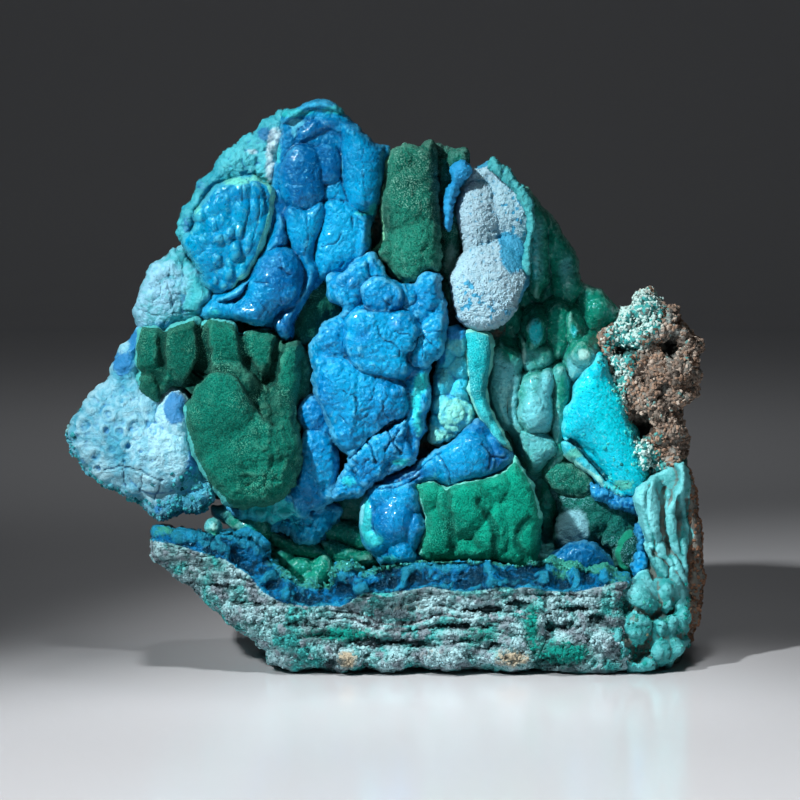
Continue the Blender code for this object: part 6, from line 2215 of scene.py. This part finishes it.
class GrowCrown(Operator):
    """Grow the blue crown at the top left"""

    bl_idname = "specimen.crown"
    bl_label = "Blue crown"

    def execute(self, context):
        colours = context.scene.specimen
        finish = glazed(
            "crown_glaze", colours.bright_blue[:], colours.deep_blue[:], srgb(90, 190, 214), srgb(30, 156, 164),
            srgb(0, 36, 80), 0.32,
        )
        relief = Relief(
            warp=3.0, pillow_size=3.2, pillow_height=0.35, pebble_size=1.1, pebble_height=0.2,
            crack_size=2.6, crack_width=0.3, crack_depth=0.26, grain_size=1.3, grain_height=0.28,
        )
        grow("chrysocolla_crown", [CROWN], relief, 3, finish, "chrysocolla_blue", mark_crown)
        return {"FINISHED"}


class GrowDisc(Operator):
    """Grow the glossy round disc"""

    bl_idname = "specimen.disc"
    bl_label = "Glossy disc"

    def execute(self, context):
        colours = context.scene.specimen
        finish = glazed(
            "disc_glaze", colours.glossy_teal[:], srgb(0, 106, 160), srgb(110, 204, 180), srgb(90, 186, 176),
            srgb(0, 50, 84), 0.2,
        )
        relief = Relief(
            warp=3.0, pillow_size=3.6, pillow_height=1.1, pebble_size=1.5, pebble_height=0.08,
            grain_size=1.0, grain_height=0.08,
        )
        grow("glossy_disc", [DISC], relief, 4, finish, "chrysocolla_blue", mark_disc)
        return {"FINISHED"}


class GrowPaleCrusts(Operator):
    """Grow the chalky crusts round the left edge"""

    bl_idname = "specimen.pale_crusts"
    bl_label = "Pale crusts"

    def execute(self, context):
        colours = context.scene.specimen
        rough = crusted(
            "rough_crown_crust", srgb(58, 168, 182), srgb(4, 134, 156), srgb(0, 98, 150), 1.3, 0.55, srgb(176, 206, 216)
        )
        lumps = crusted("pale_lump_crust", colours.pale_blue[:], srgb(40, 160, 172), srgb(0, 120, 168), 1.4)
        plate = crusted("pale_plate_crust", srgb(156, 210, 226), srgb(60, 164, 194), srgb(0, 116, 178), 1.6)
        relief = Relief(
            pillow_size=3.0, pillow_height=0.7, pebble_size=1.2, pebble_height=0.4,
            grain_size=0.8, grain_height=0.25,
        )
        rougher = relief._replace(pillow_height=1.0, pebble_height=0.8, grain_height=0.4)
        grow("rough_crown_crust", [ROUGH_CROWN], rougher, 5, rough, "pale_crust", mark_rough_crown)
        grow("pale_lumps", [PALE_LUMPS], relief, 6, lumps, "pale_crust", mark_lumps)
        relief = relief._replace(pillow_height=0.5, pebble_height=0.22)
        skin = grow("pale_plate", [PALE_PLATE], relief, 7, plate, "pale_crust", mark_plate)
        tones = [srgb(20, 110, 122), srgb(60, 160, 168), srgb(90, 176, 196), srgb(130, 190, 196)]
        grains = crumb_finish("plate_grains", tones, srgb(40, 150, 170), srgb(10, 50, 60))
        strew("plate_grains", skin, grains, 1.2, 1.1, 9)
        return {"FINISHED"}


class GrowVelvet(Operator):
    """Grow the velvety malachite at the left, at the top and in the hollow"""

    bl_idname = "specimen.velvet"
    bl_label = "Velvet malachite"

    def execute(self, context):
        colours = context.scene.specimen
        green, dark = colours.velvet_green[:], colours.dark_green[:]
        relief = Relief(
            pillow_size=4.5, pillow_height=0.7, pebble_size=1.9, pebble_height=0.6,
            grain_size=0.75, grain_height=0.3,
        )
        rim = srgb(80, 184, 184)
        left = velvet("velvet_left", green, dark, srgb(88, 156, 134), rim)
        top = velvet("velvet_top", srgb(26, 120, 102), dark, srgb(120, 168, 152), srgb(110, 184, 150))
        band = velvet("green_band", srgb(18, 116, 100), dark, srgb(112, 152, 146), srgb(60, 186, 186))
        inner = velvet("velvet_inner", srgb(24, 128, 112), srgb(4, 54, 46), srgb(120, 176, 164), rim)
        grey = velvet("grey_velvet", srgb(24, 116, 106), srgb(4, 60, 54), srgb(116, 172, 184), srgb(24, 134, 108))
        grow("velvet_left", [VELVET_LEFT, VELVET_NOOK], relief, 8, left, "malachite_green", mark_velvet_left)
        grow("velvet_top", [VELVET_TOP], relief, 9, top, "malachite_green", mark_velvet_top)
        grow("green_band", [GREEN_BAND], relief, 21, band, "malachite_green", mark_green_band)
        grow("velvet_inner", [INNER_DARK], relief, 10, inner, "malachite_green")
        grow("grey_velvet", [INNER_GREY], relief, 22, grey, "malachite_green", mark_inner_grey)
        return {"FINISHED"}


class GrowBlueCentre(Operator):
    """Grow the crackled blue mass in the middle and the crescent beside it"""

    bl_idname = "specimen.blue_centre"
    bl_label = "Crackled blue centre"

    def execute(self, context):
        colours = context.scene.specimen
        finish = glazed(
            "centre_glaze", colours.bright_blue[:], srgb(0, 102, 158), srgb(120, 204, 220), srgb(30, 176, 184),
            srgb(0, 34, 72), 0.42,
        )
        relief = Relief(
            warp=3.0, pillow_size=3.0, pillow_height=0.35, pebble_size=1.7, pebble_height=0.3,
            crack_size=3.0, crack_width=0.35, crack_depth=0.4, grain_size=1.4, grain_height=0.3,
        )
        grow("blue_centre", [BLUE_CENTRE], relief, 11, finish, "chrysocolla_blue", mark_centre)
        grow("blue_crescent", [BLUE_CRESCENT, CRESCENT_FOOT, BLUE_KNOB], relief, 12, finish, "chrysocolla_blue", mark_crescent)
        return {"FINISHED"}


class GrowBubbles(Operator):
    """Grow the white pebbly bubbles"""

    bl_idname = "specimen.white_bubbles"
    bl_label = "White bubbles"

    def execute(self, context):
        colours = context.scene.specimen
        finish = crusted("white_pebbly_crust", colours.white_blue[:], srgb(146, 188, 202), srgb(0, 140, 180), 1.2)
        relief = Relief(
            warp=1.0, pillow_size=3.5, pillow_height=0.25, pebble_size=0.9, pebble_height=0.55,
            grain_size=0.8, grain_height=0.2,
        )
        skin = grow("white_bubbles", [WHITE], relief, 13, finish, "pale_crust", mark_white)
        strew("white_grains", skin, finish, 2.8, 0.46, 8, smooth=True)
        shell = crusted("bubble_shell", srgb(60, 166, 172), srgb(10, 136, 150), srgb(0, 136, 194), 1.0)
        relief = relief._replace(pebble_height=0.7, grain_height=0.4)
        grow("white_shell", [WHITE_SHELL, BLUE_NODULE], relief, 25, shell, "turquoise_band", mark_shell)
        return {"FINISHED"}


class GrowBand(Operator):
    """Grow the turquoise band between the middle and the hollow"""

    bl_idname = "specimen.band"
    bl_label = "Turquoise band"

    def execute(self, context):
        band = velvet(
            "band_velvet", srgb(26, 180, 190), srgb(4, 110, 124), srgb(120, 212, 214), srgb(120, 206, 196)
        )
        broken = crusted("broken_turquoise", srgb(104, 190, 178), srgb(0, 168, 200), srgb(0, 132, 200), 2.0, 0.5)
        relief = Relief(
            pillow_size=3.0, pillow_height=0.3, pebble_size=1.3, pebble_height=0.15,
            grain_size=0.8, grain_height=0.12,
        )
        grow("turquoise_band", [BAND], relief, 14, band, "turquoise_band", mark_band)
        relief = relief._replace(pillow_height=0.8, pebble_height=0.4, grain_height=0.25)
        grow("broken_band", [BROKEN_BAND], relief, 23, broken, "turquoise_band", mark_broken_band)
        return {"FINISHED"}


class GrowLowerLobe(Operator):
    """Grow the lower lobe, green velvet with a blue side"""

    bl_idname = "specimen.lower_lobe"
    bl_label = "Lower lobe"

    def execute(self, context):
        green = velvet(
            "lower_velvet", srgb(0, 150, 124), srgb(0, 66, 56), srgb(60, 170, 148), srgb(96, 190, 176)
        )
        blue = glazed(
            "lower_glaze", srgb(0, 128, 178), srgb(0, 78, 136), srgb(120, 198, 212), srgb(40, 168, 176),
            srgb(0, 36, 76), 0.42,
        )
        relief = Relief(
            pillow_size=3.4, pillow_height=0.5, pebble_size=1.6, pebble_height=0.35,
            grain_size=0.75, grain_height=0.24,
        )
        grow("lower_green", [LOWER_GREEN], relief, 15, green, "malachite_green", mark_lower_green)
        relief = relief._replace(pillow_height=0.4, pebble_height=0.2)
        grow("lower_blue", [LOWER_BLUE], relief, 24, blue, "chrysocolla_blue", mark_lower_blue)
        return {"FINISHED"}


class GrowHollow(Operator):
    """Grow the glassy grey-green lobes and curtains in the hollow"""

    bl_idname = "specimen.hollow"
    bl_label = "Hollow's lobes"

    def execute(self, context):
        colours = context.scene.specimen
        finish = glazed(
            "hollow_glaze", srgb(92, 176, 186), srgb(12, 120, 100), srgb(170, 222, 216), srgb(20, 178, 190),
            srgb(4, 56, 52), 0.34,
        )

        def mark(skin):
            high = ease(skin.places[:, 1] + noise_at(skin.points, 5.0, 97) * 2, 75, 82)
            # The lightened patches at (37, 102) and (29, 68) are painted light: they brighten parts that lie in the
            # shade of the bubbles and of the band.
            skin.marks["deep"] = 0.6 * skin.marks["deep"] + high * 0.8 + patches(skin.places, [
                (30, 76, 3, 3.4, 0.7), (43.6, 68, 1.4, 6, 0.5), (45, 52, 3, 5, 0.5), (39.6, 88.6, 5, 4, 0.9),
                (37, 102, 3, 12, -0.5), (51, 88, 5, 6, 0.6), (42.8, 82, 3, 4, 0.3), (44.8, 97, 3, 6, -0.9),
                (37, 62, 5, 6, -0.3), (29, 68, 3, 9, -0.9), (33, 64, 1.2, 8, 0.2), (-18, 28, 22, 9, 1.4),
                (36, 54, 4, 4, 0.1), (40, 40, 4, 8, 0.6), (30.6, 84, 4, 6, 0.6),
            ])
            skin.marks["stain"] = patches(skin.places, [
                (37, 82, 2.2, 4, 1.0), (46.4, 82.4, 1.6, 3.4, 0.6), (29, 67, 2.6, 8, 0.4), (44, 57, 2, 4, 0.4),
                (-34.4, 33.4, 4, 3, 0.5), (36.8, 101, 1.5, 11, 0.7), (41, 97, 1, 7, 0.4),
            ])
            # The pale strips at (37, 101) and (29.6, 66) are painted light too, on parts that lie in shade.
            skin.marks["rim"] = patches(skin.places, [
                (37, 101, 2, 11, 0.5), (29.6, 66, 3, 8, 0.55), (44.8, 95, 2.4, 5, 0.4),
                (48.8, 76.4, 1.8, 1.8, 1.0), (34, 76.4, 0.8, 4, 0.7), (38, 74.8, 3, 2.4, 0.45), (42.4, 66, 1, 6, 0.4),
                (37.4, 57.4, 4, 0.8, 0.5), (-43.7, 33.6, 2, 2, 0.6),
            ])
            skin.marks["cracked"] = np.zeros(len(skin.points))

        relief = Relief(
            pillow_size=3.0, pillow_height=0.3, pebble_size=1.5, pebble_height=0.12,
            grain_size=1.4, grain_height=0.25,
        )
        grow("hollow_lobes", [HOLLOW, CAVE, *KNOBS], relief, 16, finish, "turquoise_band", mark)
        pebble = glazed(
            "pebble_glaze", srgb(0, 90, 140), srgb(0, 54, 100), srgb(90, 170, 196), srgb(90, 180, 168),
            srgb(0, 26, 60), 0.38,
        )
        relief = relief._replace(grain_height=0.5, pebble_height=0.3)
        grow("deep_blue_pebble", [PEBBLE], relief, 17, pebble, "chrysocolla_blue", mark_pebble)
        fringe = glazed(
            "fringe_glaze", srgb(0, 134, 196), srgb(0, 70, 130), srgb(90, 190, 214), srgb(20, 150, 170),
            srgb(0, 26, 60), 0.4,
        )
        relief = relief._replace(pebble_size=0.9, pebble_height=0.9)
        grow("blue_fringe", [UNDER_FACE, BESIDE_WALL], relief, 26, fringe, "chrysocolla_blue")
        return {"FINISHED"}


class GrowRightFace(Operator):
    """Grow the smooth turquoise face at the right"""

    bl_idname = "specimen.right_face"
    bl_label = "Turquoise face"

    def execute(self, context):
        finish = glazed(
            "face_glaze", srgb(0, 198, 216), srgb(0, 170, 196), srgb(150, 216, 202), srgb(80, 182, 168),
            srgb(0, 66, 80), 0.42,
        )
        relief = Relief(
            pillow_size=6.0, pillow_height=0.4, pebble_size=1.6, pebble_height=0.1,
            grain_size=0.9, grain_height=0.12,
        )
        skin = grow("turquoise_face", [FACE], relief, 18, finish, "turquoise_band", mark_face)
        tones = [srgb(10, 120, 116), srgb(24, 168, 176), srgb(60, 186, 184), srgb(120, 176, 160)]
        grains = crumb_finish("face_grains", tones, srgb(60, 170, 160), srgb(20, 60, 54))
        strew("face_grains", skin, grains, 1.6, 0.9, 10)
        return {"FINISHED"}


class GrowRightEdge(Operator):
    """Grow the layered wall and the granular host rock at the right edge"""

    bl_idname = "specimen.right_edge"
    bl_label = "Right edge"

    def execute(self, context):
        colours = context.scene.specimen
        wall = crusted("wall_layers", srgb(120, 212, 220), srgb(24, 142, 144), srgb(96, 78, 66), 1.6)
        relief = Relief(
            warp=1.5, pillow_size=3.0, pillow_height=0.6, pebble_size=1.3, pebble_height=0.35,
            grain_size=0.9, grain_height=0.3,
        )
        skin = grow("right_wall", [WALL], relief, 19, wall, "turquoise_band", mark_wall)
        tones = [srgb(16, 104, 98), srgb(24, 130, 124), srgb(60, 150, 140), srgb(120, 130, 108)]
        grains = crumb_finish("wall_grains", tones, srgb(112, 84, 66), srgb(44, 36, 30))
        strew("wall_grains", skin, grains, 0.75, 0.95, 7)
        rock = rocky("granular_rock", srgb(150, 160, 156), colours.rock_brown[:], srgb(60, 164, 162), srgb(36, 34, 30))
        relief = Relief(
            warp=1.5, pillow_size=3.2, pillow_height=1.2, pebble_size=1.4, pebble_height=1.0,
            grain_size=0.9, grain_height=0.6,
        )
        skin = grow("granular_rock", [MATRIX], relief, 20, rock, "host_rock", mark_matrix)
        tones = [srgb(100, 80, 66), srgb(154, 130, 112), srgb(132, 116, 104), srgb(186, 172, 158), srgb(112, 152, 148)]
        grains = crumb_finish("rock_grains", tones, srgb(184, 216, 212), srgb(40, 32, 26))
        strew("rock_grains", skin, grains, 1.15, 0.94, 5)
        return {"FINISHED"}


def studio_bowl(radius=1.35, height=1.4, rings=24, corners=96):
    """A floor that turns up into a wall all round, far behind every place to look from."""
    profile = [(0.0, 0.0), (radius * 0.45, 0.0)]
    for i in range(rings + 1):
        angle = math.pi / 2 * i / rings
        profile.append((radius * (0.7 + 0.55 * math.sin(angle)), height * 0.5 * (1 - math.cos(angle))))
    profile.append((radius * 1.25, height))
    mesh = bmesh.new()
    middle = mesh.verts.new((0.0, 0.0, 0.0))
    loops = []
    for reach, up in profile[1:]:
        angles = [2 * math.pi * i / corners for i in range(corners)]
        loops.append([mesh.verts.new((reach * math.cos(a), reach * math.sin(a), up)) for a in angles])
    for i in range(corners):
        j = (i + 1) % corners
        mesh.faces.new((middle, loops[0][i], loops[0][j]))
        for low, high in zip(loops, loops[1:]):
            mesh.faces.new((low[i], high[i], high[j], low[j]))
    bmesh.ops.recalc_face_normals(mesh, faces=mesh.faces)
    bmesh.ops.reverse_faces(mesh, faces=mesh.faces)
    data = bpy.data.meshes.new("floor")
    mesh.to_mesh(data)
    mesh.free()
    data.shade_smooth()
    return data


class SetStage(Operator):
    """Set the floor, the lights and the camera"""

    bl_idname = "specimen.stage"
    bl_label = "Stage"

    def execute(self, context):
        scene = context.scene
        floor = bpy.data.objects.new("floor", studio_bowl())
        scene.collection.objects.link(floor)
        ground = bpy.data.materials.new("pale_floor")
        ground.use_nodes = True
        shader = ground.node_tree.nodes["Principled BSDF"]
        shader.inputs["Base Color"].default_value = (0.5, 0.51, 0.53, 1.0)
        shader.inputs["Roughness"].default_value = 0.16
        floor.data.materials.append(ground)

        world = bpy.data.worlds.new("studio")
        world.use_nodes = True
        world.node_tree.nodes["Background"].inputs["Color"].default_value = (0.95, 0.97, 1.0, 1.0)
        world.node_tree.nodes["Background"].inputs["Strength"].default_value = 0.05
        scene.world = world
        for name, kind, place, target, power, size, spread in (
            ("key", "AREA", (-0.54, -0.6, 0.66), (0.0, -0.02, 0.075), 0.15, 0.045, 15),
            ("fill", "AREA", (0.55, -0.8, 0.25), (0.0, 0.0, 0.06), 0.012, 0.4, 50),
            ("floor_light", "SPOT", (0.0, -0.31, 0.55), (0.0, -0.31, 0.0), 25.0, 0.05, 60),
            ("top", "AREA", (0.1, 0.25, 0.8), (0.0, 0.0, 0.1), 0.03, 0.3, 13),
            ("backdrop", "AREA", (0.0, 0.9, 0.7), (0.0, 1.3, 0.2), 0.115, 0.5, 140),
            ("back_floor", "AREA", (0.0, 0.42, 0.7), (0.0, 0.42, 0.0), 0.18, 0.4, 60),
        ):
            lamp = bpy.data.lights.new(name, kind)
            lamp.energy = power
            if kind == "AREA":
                lamp.shape = "SQUARE"
                lamp.size = size
                lamp.spread = math.radians(spread)
            else:
                lamp.shadow_soft_size = size
                lamp.spot_size = math.radians(spread)
                lamp.spot_blend = 0.28
            light = bpy.data.objects.new(name, lamp)
            light.location = place
            light.rotation_euler = (Vector(place) - Vector(target)).to_track_quat("Z", "Y").to_euler()
            scene.collection.objects.link(light)

        eye, sight, _ = sight_axes()
        lens = bpy.data.cameras.new("camera")
        lens.sensor_width = SENSOR
        lens.lens = SENSOR * SIGHT_DISTANCE / SIGHT_SPAN
        lens.clip_start = 0.05
        camera = bpy.data.objects.new("camera", lens)
        camera.location = eye * MM
        camera.rotation_euler = (-sight).to_track_quat("Z", "Y").to_euler()
        scene.collection.objects.link(camera)
        scene.camera = camera
        scene.view_settings.view_transform = "Standard"
        return {"FINISHED"}


STEPS = (
    SetStage, GrowCore, GrowSlab, GrowCrown, GrowDisc, GrowPaleCrusts, GrowVelvet, GrowBlueCentre,
    GrowBubbles, GrowBand, GrowLowerLobe, GrowHollow, GrowRightFace, GrowRightEdge,
)


class SpecimenPanel(Panel):
    """The specimen's pieces, its sizes and its colours"""

    bl_idname = "VIEW3D_PT_specimen"
    bl_label = "Specimen"
    bl_space_type = "VIEW_3D"
    bl_region_type = "UI"
    bl_category = "Specimen"

    def draw(self, context):
        for step in STEPS:
            self.layout.operator(step.bl_idname)
        for name in SpecimenSettings.__annotations__:
            self.layout.prop(context.scene.specimen, name)


CLASSES = (SpecimenSettings, *STEPS, SpecimenPanel)


def register():
    for item in CLASSES:
        bpy.utils.register_class(item)
    bpy.types.Scene.specimen = PointerProperty(type=SpecimenSettings)


def unregister():
    del bpy.types.Scene.specimen
    for item in reversed(CLASSES):
        bpy.utils.unregister_class(item)


def main():
    import time

    register()
    start = time.time()
    for step in STEPS:
        group, name = step.bl_idname.split(".")
        getattr(getattr(bpy.ops, group), name)()
        print(f"{name}: {time.time() - start:.1f} s")


if __name__ == "__main__":
    main()
